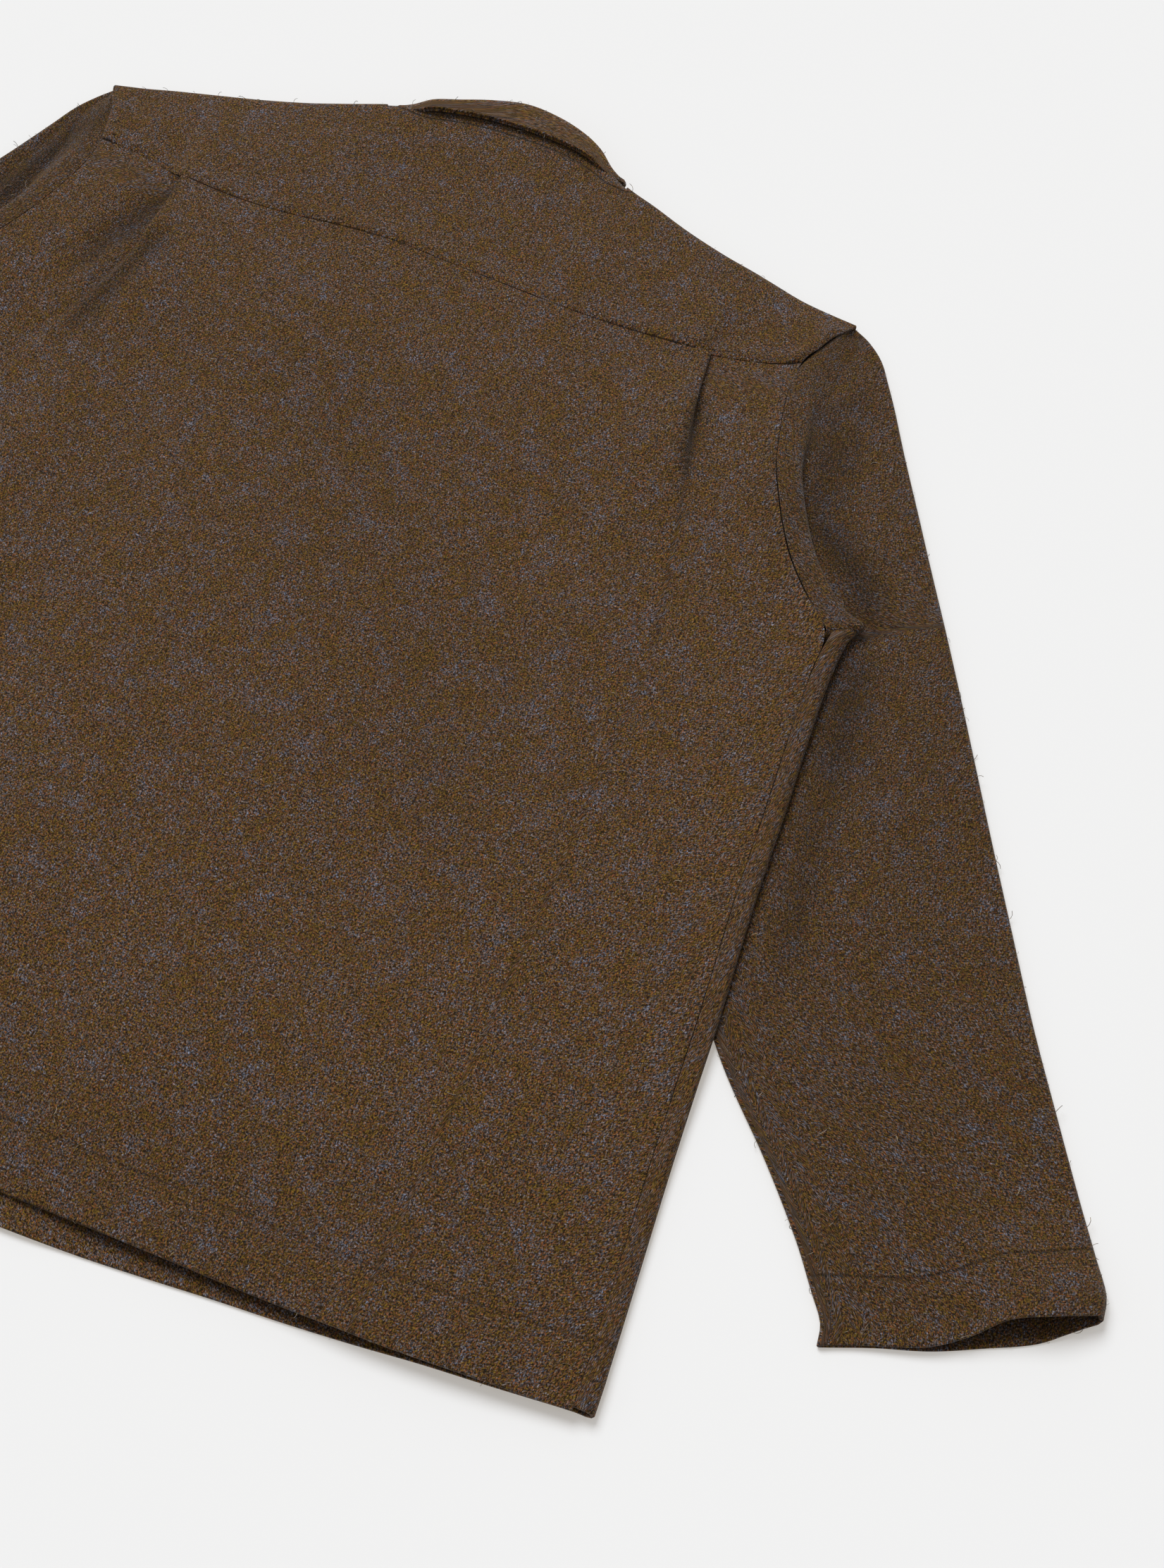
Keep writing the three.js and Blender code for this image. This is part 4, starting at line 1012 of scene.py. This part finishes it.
def sleeve_stations(side):
    fine, travel = edge_curve(side)
    length = travel[-1]
    rest = math.radians(SLEEVES[side]["lie"])

    def place(along):
        along = min(along, length)
        point = (np.interp(along, travel, fine[:, 0]), np.interp(along, travel, fine[:, 1]))
        angle = rest + 0.5 * math.exp(-along / 16)
        return point, (math.cos(angle), math.sin(angle))

    stations = []
    for row in SLEEVE_STATIONS:
        point, out = place(row["along"])
        seam_in = distance_in(point, out, lambda y: armhole_at(side, y))
        front_in = distance_in(point, out, lambda y: front_armhole_at(side, y))
        stations.append({**row, "point": point, "out": out, "seam_in": seam_in, "front_in": front_in,
                         "seam_z": edge_height(point[1] - seam_in * out[1]), "tube": False,
                         "width": front_in + 3 + row["hidden"], "visible": seam_in - 12})
    start = SLEEVE_STATIONS[-1]["along"] + 16
    for along, overlap, covered in ((start, 8, 13), (start + 5, 6, 17), (start + 10, 4, 20)):
        point, out = place(along)
        seam_in = distance_in(point, out, lambda y: armhole_at(side, y))
        stations.append({"along": along, "point": point, "out": out, "seam_in": seam_in,
                         "front_in": seam_in + 5,
                         "seam_z": edge_height(UNDERARM_LEVEL), "turn": 180, "overlap": overlap,
                         "back": 180, "tube": False, "width": SLEEVES[side]["underarm_width"],
                         "visible": seam_in - covered})
    for row in TUBE_STATIONS:
        along = min(length, start + row["past"] * (length - start) / TUBE_LENGTH)
        point, out = place(along)
        width = row[side]
        seam = lerp(seam_in + 5, width - 5, row["seam"])
        body_in = distance_in(point, out, lambda y: side_fold_at(side, y))
        stations.append({"along": along, "point": point, "out": out, "seam_in": seam, "front_in": seam,
                         "seam_z": FLOOR_PLY + PLY_STEP, "turn": 0, "overlap": 0, "back": 180, "tube": True,
                         "width": width, "visible": min(body_in, width) - 6})
    return stations, (math.sin(rest), -math.cos(rest)), length


def sleeve_section(station, length):
    low = FLOOR_PLY + PLY_STEP
    to_cuff = length - station["along"]
    seam_in = station["seam_in"] - (SEAM_GAP if station["tube"] else 0)
    drop = station["seam_z"] - low
    hump = SLEEVE_HUMP * smooth(0, 120, station["along"])
    visible = station["visible"]
    mouth = CUFF_LIFT * smooth(70, 0, to_cuff)
    edge_radius = 1 + 0.9 * smooth(0, 60, station["along"]) + CUFF_ROUND * smooth(60, 0, to_cuff)
    points = []

    def top_height(inwards):
        across = min(1, max(0, inwards / visible))
        lift = math.exp(-(((inwards - 34) / 27) ** 2))
        return (FLOOR_PLY + 2 * edge_radius * (1 - smooth(0, 0.5, across)) + PLY_STEP * smooth(0, 0.5, across)
                + hump * math.sin(math.pi * across) ** 2 + mouth * lift)

    if station["tube"]:
        for i in range(12):
            inwards = seam_in - 26 * (i / 11)
            points.append((inwards, top_height(inwards)))
    else:
        band = min(look_up(SLEEVE_CAP_BAND, "along", "band", station["along"]), seam_in * 0.3)
        arcs = fold_section(max(0.2, drop), station["turn"], station["overlap"], 6)
        points.append((seam_in - SEAM_GAP, station["seam_z"]))
        points.append((seam_in - band / 2, station["seam_z"] + 0.3))
        squeeze = min(1, (seam_in - band - edge_radius) / max(1, arcs[9][0]) * 0.8)
        for out, up in arcs:
            points.append((seam_in - band - out * squeeze, station["seam_z"] + up))
    start = points[-1][0]
    start_z = points[-1][1]
    radius = (top_height(0) - FLOOR_PLY) / 2
    for i in range(1, 5):
        inwards = lerp(start, radius, i / 5)
        blend = 1 if station["tube"] else smooth(0, 0.4, i / 5)
        points.append((inwards, lerp(start_z, top_height(inwards), blend)))
    for i in range(5):
        angle = math.pi * i / 4
        points.append((radius - radius * math.sin(angle), FLOOR_PLY + radius * (1 + math.cos(angle))))
    turn = math.radians(station["back"])
    turn_radius = PLY_STEP / 2
    turn_in = station["width"] - turn_radius
    for i in range(1, 5):
        points.append((lerp(radius, turn_in, i / 5), FLOOR_PLY))
    for i in range(5):
        angle = turn * i / 4
        reach = turn_radius * math.sin(angle) if station["back"] else 0.8 * i
        points.append((turn_in + reach, FLOOR_PLY + turn_radius * (1 - math.cos(angle))))
    end = points[-1]
    reach = end[0] - station["front_in"] if station["back"] == 180 else 0.6
    if station["back"] == 0:
        reach = 2
    for i in range(1, 4):
        step = reach * i / 3
        points.append((end[0] + step * math.cos(turn), end[1] + step * math.sin(turn)))
    return points


def sleeve_rows(side):
    mirror = mirror_of(side)
    stations, down, length = sleeve_stations(side)
    rows = []
    for station in stations:
        to_cuff = length - station["along"]
        row = []
        for i, (inwards, z) in enumerate(sleeve_section(station, length)):
            across = inwards / station["width"]
            bulge = 5 * smooth(0, 0.16, across) * (1 - 0.85 * smooth(0.2, 0.85, across))
            drawn_back = 9 * math.exp(-(((inwards - 36) / 26) ** 2)) if i < 18 else 0
            shorter = CUFF_INNER_SHORT * smooth(0.58, 1.02, across)
            slide = (bulge - drawn_back - shorter) * smooth(60, 0, to_cuff)
            x = station["point"][0] - inwards * station["out"][0] + slide * down[0]
            y = station["point"][1] - inwards * station["out"][1] + slide * down[1]
            row.append((mirror * x, y, z))
        rows.append(row)
    return rows


# Soft ridges and troughs of the sleeves' upper ply
SLEEVE_CREASES = {
    "right": table(
        "x0 y0 x1 y1 bow wide rise",
        (262, -52, 286, -168, -5, 9, -2.2),
        (318, -205, 352, -300, 6, 12, -1.6),
        (300, -95, 372, -262, 8, 16, 1.2),
        (338, -300, 392, -286, 3, 10, 0.9),
        (352, -372, 430, -352, -4, 13, 1.0),
        (372, -330, 428, -452, 9, 15, -0.9),
        (408, -420, 452, -520, -6, 14, 1.0),
        (452, -430, 500, -505, 5, 11, -0.7),
    ),
    "left": table(
        "x0 y0 x1 y1 bow wide rise",
        (-238, -22, -262, -96, 3, 8, -2.4),
        (-262, -80, -284, -168, 5, 9, -1.8),
        (-316, -205, -348, -300, -6, 12, -1.5),
        (-292, -95, -352, -262, -8, 16, 1.1),
        (-318, -300, -372, -288, 3, 11, 0.8),
        (-338, -360, -408, -346, 4, 13, 1.0),
        (-350, -330, -392, -450, -9, 15, -0.8),
        (-380, -420, -418, -520, 6, 14, 0.9),
    ),
}
UPPER_PLY_LOWEST = 2.5
# Painted shade on the sleeves: strokes that darken the wool in the valley beside the armhole fold and along
# the body's side fold
SLEEVE_PAINTED_SHADE = {
    "right": table(
        "x0 y0 x1 y1 bow wide rise",
        (262, -38, 243, -70, 0, 8, 0.5),
        (250, -66, 262, -138, -4, 12, 0.8),
        (262, -134, 316, -186, -5, 11, 1.0),
        (314, -200, 330, -290, 0, 13, 0.9),
        (328, -290, 346, -400, 0, 10, 0.6),
    ),
    "left": table(
        "x0 y0 x1 y1 bow wide rise",
        (-232, -10, -258, -92, 2, 8, 1.0),
        (-256, -80, -270, -146, 4, 12, 1.0),
        (-262, -134, -312, -186, 5, 14, 1.0),
        (-310, -200, -322, -290, 0, 13, 0.9),
        (-320, -290, -326, -400, 0, 10, 0.6),
    ),
}
# Painted shade: the sleeves' wool is set darker than the body's, standing in for the shade on the sleeves
shaded_sleeve_tweed = tweed("sleeve tweed", depth=0.68, line_depth=0.9)
for side in ("right", "left"):
    def upper_ply_creases(points, side=side):
        columns = np.arange(points.shape[1]) / points.shape[1]
        upper = (np.interp(columns, (0.22, 0.3, 0.5, 0.53), (0, 1, 1, 0)))[None, :]
        return np.maximum(creased(points, SLEEVE_CREASES[side]), UPPER_PLY_LOWEST - points[..., 2]) * upper

    piece, _ = cloth(
        f"sleeve_{side}_cloth",
        sleeve_rows(side),
        cell=4.5,
        relief=upper_ply_creases,
        nap_side=-mirror_of(side),
        line=turning_line(CUFF_TURNING),
        painted_shade=lambda points: creased(points, SLEEVE_PAINTED_SHADE[side]),
    )
    finish_piece(piece, shaded_sleeve_tweed, f"sleeve_{side}")

# Back
# The widest panel, cut to the hem, with one open pleat on each side caught in the yoke seam.
# It lies over the fronts, ends at the armholes and side seams, and has a turned hem.
BODY_LENGTH = 653
HEM_LIFT = 5
BACK_WAVE = 0.5
YOKE_SEAM = table(
    "x y",
    (-226, -38),
    (-196, -41.5),
    (-167, -47.5),
    (-130, -51.5),
    (-98, -51),
    (-62, -47),
    (-30, -45.5),
    (0, -48),
    (40, -51),
    (94, -54),
    (149, -52.5),
    (190, -47.5),
    (209, -42),
    (219, -36),
)
YOKE_SEAM_LEFT_END = -226
YOKE_SEAM_END = 219
BACK_HEM = table(
    "x y",
    (0, -BODY_LENGTH),
    (205, -BODY_LENGTH),
    (254, -652.1),
    (301, -649.1),
    (350, -645.1),
)
# The pleat: drop from its crest, how far it turns under and its overlap, by distance below the seam
PLEAT = table(
    "below drop turn overlap",
    (0, 3.9, 180, 13),
    (12, 4.0, 180, 11),
    (24, 4.9, 172, 0),
    (40, 6.4, 132, 0),
    (60, 6.0, 88, 0),
    (85, 4.0, 50, 0),
    (115, 2.5, 28, 0),
    (150, 1.4, 15, 0),
    (200, 0.7, 7, 0),
    (260, 0.3, 4, 0),
    (640, 0.1, 3, 0),
)
PLEAT_LINE = table(
    "y right left",
    (-40, 167, 167),
    (-84, 174, 164),
    (-124, 182, 165),
    (-180, 196, 179),
    (-280, 214, 200),
    (-660, 230, 215),
)
PLEAT_ACROSS = 170
BACK_ROWS = [0, 8, 16, 26, 36, 48, 62, 78, 96, 114, 132, 150, 170, 200, 240, 290, 345, 400, 450,
             500, 545, 580, 605, 616]


def yoke_seam_at(x):
    return look_up(YOKE_SEAM, "x", "y", x)


def back_height(side, across, y, from_yoke):
    reach = armhole_at(side, y) if y > UNDERARM_LEVEL else side_fold_at(side, y)
    towards_edge = smooth(reach - 85, reach - 4, across)
    under = lerp(4.6, 5.4, smooth(0, 120, from_yoke))
    hem_lift = HEM_LIFT * smooth(-590, -652, y) * smooth(120, 230, across)
    wave = BACK_WAVE * math.sin(across / 37 + y / 83) * smooth(0, 90, from_yoke)
    clear = front_height(side, across, y) + PLY_STEP + 0.9
    body = max(clear, under + wave) + hem_lift * (1 if side == "right" else 0.6)
    return lerp(body, edge_height(y), towards_edge)


def back_half_row(side, share):
    mirror = mirror_of(side)
    seam_end = yoke_seam_at(mirror * YOKE_SEAM_END)
    hem_end = look_up(BACK_HEM, "x", "y", HEM_CORNER)
    end_y = lerp(seam_end, hem_end, share)
    if end_y > UNDERARM_LEVEL:
        seam_x = armhole_at(side, end_y)
    else:
        seam_x = side_fold_at(side, end_y) - SIDE_SEAM_IN
    by_underarm = smooth(-185, -200, end_y) * smooth(-255, -230, end_y)
    end_x = seam_x - (1.5 + 3 * by_underarm) * SEAM_GAP

    def level_at(across):
        top = yoke_seam_at(mirror * across) - 2 * SEAM_GAP
        return lerp(top, look_up(BACK_HEM, "x", "y", across), share)

    level = level_at(PLEAT_ACROSS)
    below = yoke_seam_at(mirror * PLEAT_ACROSS) - level
    crest_x = look_up(PLEAT_LINE, "y", side, level)
    turn = 180 if below < 14 else min(180, look_up(PLEAT, "below", "turn", below))
    drop = look_up(PLEAT, "below", "drop", below)
    arcs = fold_section(drop, turn, max(0, look_up(PLEAT, "below", "overlap", below)), 9)
    valley = back_height(side, crest_x + arcs[9][0], level, below)
    crest = valley + drop
    centre_base = lerp(9.3, 5.6, smooth(50, 150, below))
    points = []
    inner = crest_x - arcs[2][0]
    for i in range(5):
        across = lerp(0, inner, i / 5)
        wave = BACK_WAVE * math.sin(across / 31 + level / 71 + 1) * smooth(0, 90, below)
        hem = 0.4 * HEM_LIFT * smooth(-600, -652, level) * smooth(0, 120, across)
        z = lerp(centre_base + wave + hem, crest, smooth(inner - 55, inner, across))
        points.append((across, max(z, front_height(side, across, level) + PLY_STEP + 0.3)))
    for out, up in arcs:
        points.append((inner + out, crest + up))
    start = points[-1][0]
    for i in range(1, 7):
        across = lerp(start, end_x, i / 6)
        edge = back_height(side, across, lerp(level, end_y, i / 6), below)
        points.append((across, lerp(valley, edge, smooth(0, 0.5, i / 6))))
    row = []
    for across, z in points:
        y = level_at(min(across, end_x))
        shift = centre_at(y) * (1 - smooth(0, crest_x, across))
        row.append((mirror * across + shift, y, z))
    return row


def back_rows():
    rows = []
    for depth in BACK_ROWS:
        share = depth / BACK_ROWS[-1]
        rows.append(back_half_row("left", share)[::-1] + back_half_row("right", share)[1:])
    return rows


# Soft drapes of the back: out of each pleat, across the shoulder blades and down to the hem
BACK_CREASES = table(
    "x0 y0 x1 y1 bow wide rise",
    (182, -120, 246, -330, 10, 26, -1.6),
    (160, -110, 196, -360, 8, 24, 1.2),
    (-170, -62, -190, -140, 3, 9, -1.6),
    (-151, -88, -172, -176, 2, 11, -2.4),
    (-162, -80, -180, -150, 2, 7, 1.2),
    (-176, -150, -214, -320, -8, 24, -1.7),
    (-140, -95, -176, -340, -6, 26, 1.2),
    (110, -180, 128, -470, 10, 30, -1.1),
    (40, -120, 52, -420, -8, 34, 0.9),
    (-60, -150, -48, -480, 8, 32, 1.0),
    (-110, -260, -96, -560, 6, 26, -1.0),
    (0, -300, 16, -610, -6, 28, -0.9),
    (210, -330, 236, -600, 8, 26, 1.0),
    (268, -260, 292, -470, -6, 17, -0.9),
    (-250, -250, -262, -540, 6, 22, 0.8),
    (286, -430, 250, -560, 6, 16, 0.7),
    (90, -480, 60, -640, -5, 22, 0.8),
    (-190, -430, -206, -640, 5, 24, 0.9),
    (150, -560, 190, -645, 3, 18, 0.8),
    (-280, -200, -236, -270, 4, 12, -0.9),
    (284, -205, 246, -262, -4, 12, -0.9),
)
# Painted shade on the back: strokes that darken the wool in the two pleats, in broad soft valleys and along
# the hem
BACK_PAINTED_SHADE = table(
    "x0 y0 x1 y1 bow wide rise",
    (-165, -50, -174, -100, 1, 4, 1.0),
    (-168, -64, -187, -132, 3, 9, 0.9),
    (-151, -88, -172, -176, 2, 10, 0.85),
    (175, -78, 187, -138, 0, 5, 0.9),
    (-100, -640, 330, -630, 0, 70, 0.22),
    (232, -90, 262, -170, 8, 18, 0.2),
    (120, -230, 150, -420, 6, 40, 0.16),
    (-20, -120, 40, -300, -10, 42, 0.14),
)


back_tweed = tweed("back tweed", line_depth=0.7)
back_piece, _ = cloth(
    "back_cloth",
    back_rows(),
    cell=4.2,
    relief=lambda points: creased(points, BACK_CREASES),
    thick=lambda points: hem_thickness(points, -BODY_LENGTH, HEM_TURNING),
    nap_side=-1,
    line=turning_line(HEM_TURNING),
    painted_shade=lambda points: creased(points, BACK_PAINTED_SHADE),
    centre_column=20,
)
finish_piece(back_piece, back_tweed, "back")

# Yoke
# One piece over the upper back, sewn to the back in front of the pleats. It folds over both
# shoulders to meet the fronts underneath, with the neckline cut out between the folds.
NECK_HALF = 78
SHOULDER_HALF = 235
NECK_RISE = 63
NECK_DIP = {"right": 44, "left": 47}
NECK_BEND = {"right": 2.7, "left": 2.15}
COLLAR_MIDDLE = 8.2
YOKE_TOP_ROWS = 6
NECK_CUT = 0.333
YOKE_HALF = [0.12, 0.24, NECK_CUT, 0.42, 0.52, 0.63, 0.725, 0.775, 0.86, 0.93, 1]
YOKE_ACROSS = [-share for share in reversed(YOKE_HALF)] + [0] + YOKE_HALF
NECK_STITCH_IN = 9
TIP_OVERHANG = 2.2
SEAM_RIDGE = 0.9
END_RIDGE = {"right": 1.7, "left": 1.5}
RIDGE_IN = 4.5


def shoulder_height(across):
    return lerp(COLLAR_MIDDLE + 2.1, 5.6, smooth(60, SHOULDER_HALF, abs(across)))


def neckline_at(x):
    """The back of the neckline: a curve, then a straight run to the neck end of each shoulder fold."""
    side = "left" if x < 0 else "right"
    across = abs(x)
    curve_end = 0.24 / NECK_CUT * NECK_HALF
    curve = lerp(NECK_RISE + 1.5, NECK_DIP[side], (min(across, curve_end) / NECK_HALF) ** NECK_BEND[side])
    return lerp(curve, shoulder_fold_at(side, 0), max(0, across - curve_end) / (NECK_HALF - curve_end))


def yoke_rows():
    columns = []
    for share in YOKE_ACROSS:
        side = "left" if share < 0 else "right"
        mirror = -1 if share < 0 else 1
        amount = abs(share)
        in_neck = amount < NECK_CUT
        fold_across = amount * armhole_at(side, 0)
        seam_across = amount * armhole_at(side, -37)
        fold_y = neckline_at(mirror * fold_across) if in_neck else shoulder_fold_at(side, fold_across)
        seam_y = yoke_seam_at(mirror * seam_across)
        top_z = shoulder_height(fold_across)
        beside_pleat = back_height(side, seam_across, seam_y, 0) + 0.15
        centre_seam = lerp(9.6, beside_pleat, smooth(161, 170, seam_across))
        under_z = front_height(side, fold_across, fold_y - 8)
        radius = (top_z - under_z) / 2
        fold_start = fold_y - SEAM_GAP if in_neck else fold_y - radius
        end = 2 * SEAM_GAP if amount > 0.99 else 0
        points = []
        for i in range(YOKE_TOP_ROWS + 1):
            part = i / YOKE_TOP_ROWS
            y = lerp(seam_y, fold_start, part)
            tip = TIP_OVERHANG * smooth(-14, 0, y) if amount > 0.99 else 0
            across = amount * armhole_at(side, min(0, lerp(-37, 0, part))) - end + tip
            crown = 0 if in_neck else 1.2 * math.sin(math.pi * part)
            points.append((mirror * across, y, lerp(centre_seam, top_z, smooth(0, 1, part)) + crown))
        for i in range(1, 5):
            angle = math.pi * i / 4
            tip = TIP_OVERHANG if amount > 0.99 else 0
            points.append((mirror * (fold_across - end + tip), fold_start + radius * math.sin(angle),
                           under_z + radius * (1 + math.cos(angle))))
        for i in (1, 2):
            y = lerp(fold_start, fold_y - YOKE_DEPTH_UNDER, i / 2)
            across = amount * front_armhole_at(side, min(0, lerp(0, -28, i / 2)))
            points.append((mirror * across, y, front_height(side, across, y)))
        columns.append(points)
    return [[column[i] for column in columns] for i in range(len(columns[0]))]


def yoke_relief(points):
    """The seam turnings under the yoke lift its lower edge and its two ends."""
    x, y = points[..., 0], points[..., 1]
    seam_y = np.vectorize(yoke_seam_at)(np.clip(x, YOKE_SEAM_LEFT_END, YOKE_SEAM_END))
    from_seam = y - seam_y
    lift = SEAM_RIDGE * np.exp(-(((from_seam - RIDGE_IN) / 4.0) ** 2))
    for side, height in END_RIDGE.items():
        reach = np.vectorize(armhole_at)(side, y)
        lift += height * np.exp(-(((reach - mirror_of(side) * x - RIDGE_IN) / 3.6) ** 2))
    rows = np.arange(points.shape[0]) / points.shape[0]
    on_top = np.interp(rows, (0, 0.02, 0.5, 0.6), (0.4, 1, 1, 0))[:, None]
    return lift * on_top + 0.35 * np.sin(x / 29 + y / 17) * on_top


def neck_stitch_line(points, u, v):
    """Distance from the stitching below the neckline; the line fades out towards the shoulders."""
    x, y = points[..., 0], points[..., 1]
    neck = np.vectorize(neckline_at)(np.clip(x, -NECK_HALF, NECK_HALF))
    return (neck - y - NECK_STITCH_IN) + np.maximum(0, np.abs(x - 8) - 58) * 0.3


yoke_tweed = tweed("yoke tweed", line_depth=1.5, line_half=0.0007)
yoke_piece, yoke_shape = cloth(
    "yoke_cloth",
    yoke_rows(),
    cell=2.6,
    relief=yoke_relief,
    nap_side=1,
    gap=(YOKE_TOP_ROWS, 8, 14),
    line=neck_stitch_line,
    centre_column=11,
)
finish_piece(yoke_piece, yoke_tweed, "yoke")

# Neck stitches
# One row of machine stitching through the yoke, a little below the neckline, that holds its
# turnings down. Each stitch is a short bead of dark thread.
STITCH_SPACING = 0.0031
STITCH_LENGTH = 0.0024
THREAD_WIDTH = 0.0005
STITCHED_ACROSS = range(-50, 68, 2)


def stitch_tree():
    """Machine stitches at an even spacing along a line."""
    tree, given, result = new_tree(
        "machine stitches", "Geometry",
        {"Geometry": "Geometry", "Spacing": "Float", "Stitch Length": "Float", "Thread": "Float",
         "Material": "Material"},
        {"Geometry": "Geometry"},
    )
    path = node_in(tree, "GeometryNodeMeshToCurve", {"Mesh": given["Geometry"]})
    even = node_in(tree, "GeometryNodeResampleCurve",
                   {"Curve": path.outputs[0], "Length": given["Spacing"]}, mode="LENGTH")
    bead = node_in(tree, "GeometryNodeMeshUVSphere", {"Segments": 6, "Rings": 4, "Radius": 0.5})
    along = node_in(tree, "GeometryNodeInputTangent")
    facing = node_in(tree, "FunctionNodeAlignRotationToVector", {"Vector": along.outputs[0]}, axis="X")
    size = node_in(tree, "ShaderNodeCombineXYZ",
                   {0: given["Stitch Length"], 1: given["Thread"], 2: given["Thread"]})
    row = node_in(tree, "GeometryNodeInstanceOnPoints",
                  {"Points": even.outputs[0], "Instance": bead.outputs[0], "Rotation": facing.outputs[0],
                   "Scale": size.outputs[0]})
    real = node_in(tree, "GeometryNodeRealizeInstances", {0: row.outputs[0]})
    painted = node_in(tree, "GeometryNodeSetMaterial", {"Geometry": real.outputs[0]})
    tree.links.new(given["Material"], painted.inputs["Material"])
    tree.links.new(painted.outputs[0], result[0])
    return tree


def sewing_thread():
    material, tree, shader = new_material("sewing thread", 0.6, 0.5)
    place = node_in(tree, "ShaderNodeTexCoord").outputs["Object"]
    twist = node_in(tree, "ShaderNodeTexNoise", {"Vector": place, "Scale": 2600.0, "Detail": 1.0}).outputs[0]
    colour = ramp(tree, twist, (0.35, (0.012, 0.008, 0.005, 1)), (0.65, (0.050, 0.034, 0.022, 1)))
    tree.links.new(colour, shader.inputs["Base Color"])
    return material


def surface_point(shape, x, y):
    """The place on the upper face of a cloth nearest to a point seen from above."""
    points = shape["points"]
    top_rows = points[:len(points) // 2]
    away = (top_rows[..., 0] - x) ** 2 + (top_rows[..., 1] - y) ** 2
    row, column = np.unravel_index(np.argmin(away), away.shape)
    height = points[row, column, 2] + shape["half"][row, column]
    return (np.array((x, y, height)) + DRAWING_ZERO) / 1000


STITCHES = stitch_tree()
THREAD = sewing_thread()
neck_path = [surface_point(yoke_shape, x, neckline_at(x) - NECK_STITCH_IN) for x in STITCHED_ACROSS]
neck_steps = [(i, i + 1) for i in range(len(neck_path) - 1)]
neck_line = bpy.data.meshes.new("neck line")
neck_line.from_pydata([tuple(point) for point in neck_path], neck_steps, [])
neck_stitches = grown("neck_stitches", neck_line, STITCHES, spacing=STITCH_SPACING,
                      stitch_length=STITCH_LENGTH, thread=THREAD_WIDTH, material=THREAD)
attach(neck_stitches, "root")

# Collar
# Two plies, top collar and under collar, sewn round the neck. In section a hairpin: stand, roll
# and fall. It shows across the back of the neck and lies on the table under the fronts.
COLLAR_POINT = 44
COLLAR_ROLL = 3.15
COLLAR_CORNER_X = 67.5
COLLAR_CORNER_Y = 55.5
COLLAR_LEFT_SINK = 3.5
COLLAR_TAPER = (55, 67)
COLLAR_END_BACK = 2.5
COLLAR_END_DROP = 5
STAND_LEVEL = {"under": 3.1, "top": 1.1}
FALL_LEVEL = {"under": 5.4, "top": 7.4}
COLLAR_PATH = table(
    "x y normal_x normal_y around roll fall",
    (0, None, 0, 1, 0, 14.5, -4),
    (20, None, 0.06, 1, 0, 13, -4),
    (38, None, 0.2, 0.98, 0, 9.5, -4),
    (52, None, 0.32, 0.95, 0, 5.5, -4),
    (62, None, 0.35, 0.93, 0, 4.4, -1.5),
    (66.5, 56, 0.15, 0.99, 30, 4, 0.6),
    (67.5, 55.6, 0, 1, 60, 3.9, 0.6),
    (67.5, 55.5, 0, 1, 90, 3.9, 0.6),
    (67.5, 55.5, 0, 1, 120, 3.9, 0.6),
    (67, 55.5, 0, 1, 150, 3.9, 0.6),
    (65, 55.5, -0.1, 1, 180, 4, 0.6),
    (61.5, 53.8, -0.6, 0.8, 180, 4.5, 0.4),
    (60.5, 49, -1, 0, 180, 5, -1),
    (63, 40, -0.95, -0.3, 180, 5, -5),
    (68, 29, -0.94, -0.3, 180, 5.5, -10),
    (71, 18, -0.99, -0.05, 180, 6, -16),
    (69, 4, -0.9, 0.43, 180, 7, -24),
    (58.5, -13.5, -0.73, 0.68, 180, 7, -32),
    (40.5, -28, -0.4, 0.92, 180, 7, -38),
    (7, -33, -0.12, 0.99, 180, 7, -COLLAR_POINT),
)


def collar_section(ply, roll, fall):
    stand_level = STAND_LEVEL[ply]
    fall_level = FALL_LEVEL[ply]
    radius = (fall_level - stand_level) / 2
    middle = (fall_level + stand_level) / 2
    roll_centre = roll - COLLAR_ROLL
    points = [(0.5, stand_level), (max(0.8, roll_centre * 0.5), stand_level)]
    for i in range(5):
        angle = math.pi * i / 4
        points.append((roll_centre + radius * math.sin(angle), middle - radius * math.cos(angle)))
    points.append((lerp(roll_centre, fall, 0.5), fall_level))
    points.append((fall, fall_level))
    return points


def collar_rows(ply):
    def half_rows(mirror):
        corner_shift = neckline_at(mirror * COLLAR_CORNER_X) + 0.5 - COLLAR_CORNER_Y
        half = []
        for row in COLLAR_PATH:
            around = math.radians(row["around"])
            normal = Vector((row["normal_x"], row["normal_y"])).normalized()
            if row["y"] is None:
                start = neckline_at(mirror * row["x"])
            else:
                start = row["y"] + corner_shift * smooth(10, COLLAR_CORNER_Y - 5, row["y"])
            sink = 0
            if mirror < 0:
                sink = COLLAR_LEFT_SINK * smooth(0, 30, row["x"]) * smooth(62, 50, row["x"])
            roll = max(COLLAR_ROLL + 0.75, row["roll"] - sink)
            taper = smooth(*COLLAR_TAPER, row["x"])
            lowered = taper * (0.5 + 0.5 * math.cos(around))
            start -= taper * COLLAR_END_BACK
            middle = COLLAR_MIDDLE - COLLAR_END_DROP * lowered
            line = []
            for off, level in collar_section(ply, roll, row["fall"]):
                x = row["x"] + off * normal.x + level * math.sin(around)
                height = middle + level * (1 - 0.3 * lowered) * math.cos(around)
                line.append((mirror * x, start + off * normal.y, height))
            half.append(line)
        return half

    return half_rows(-1)[:0:-1] + half_rows(1)


# Painted light: the collar's wool is set lighter than the body's, standing in for the light that falls on the
# collar
lit_collar_tweed = tweed("collar tweed", cool_share=-0.03, depth=1.08)
for ply in ("top", "under"):
    piece, _ = cloth(
        f"collar_{ply}_cloth",
        collar_rows(ply),
        cell=2.4,
        nap_side=1,
        centre_column=4,
    )
    finish_piece(piece, lit_collar_tweed, f"collar_{ply}")
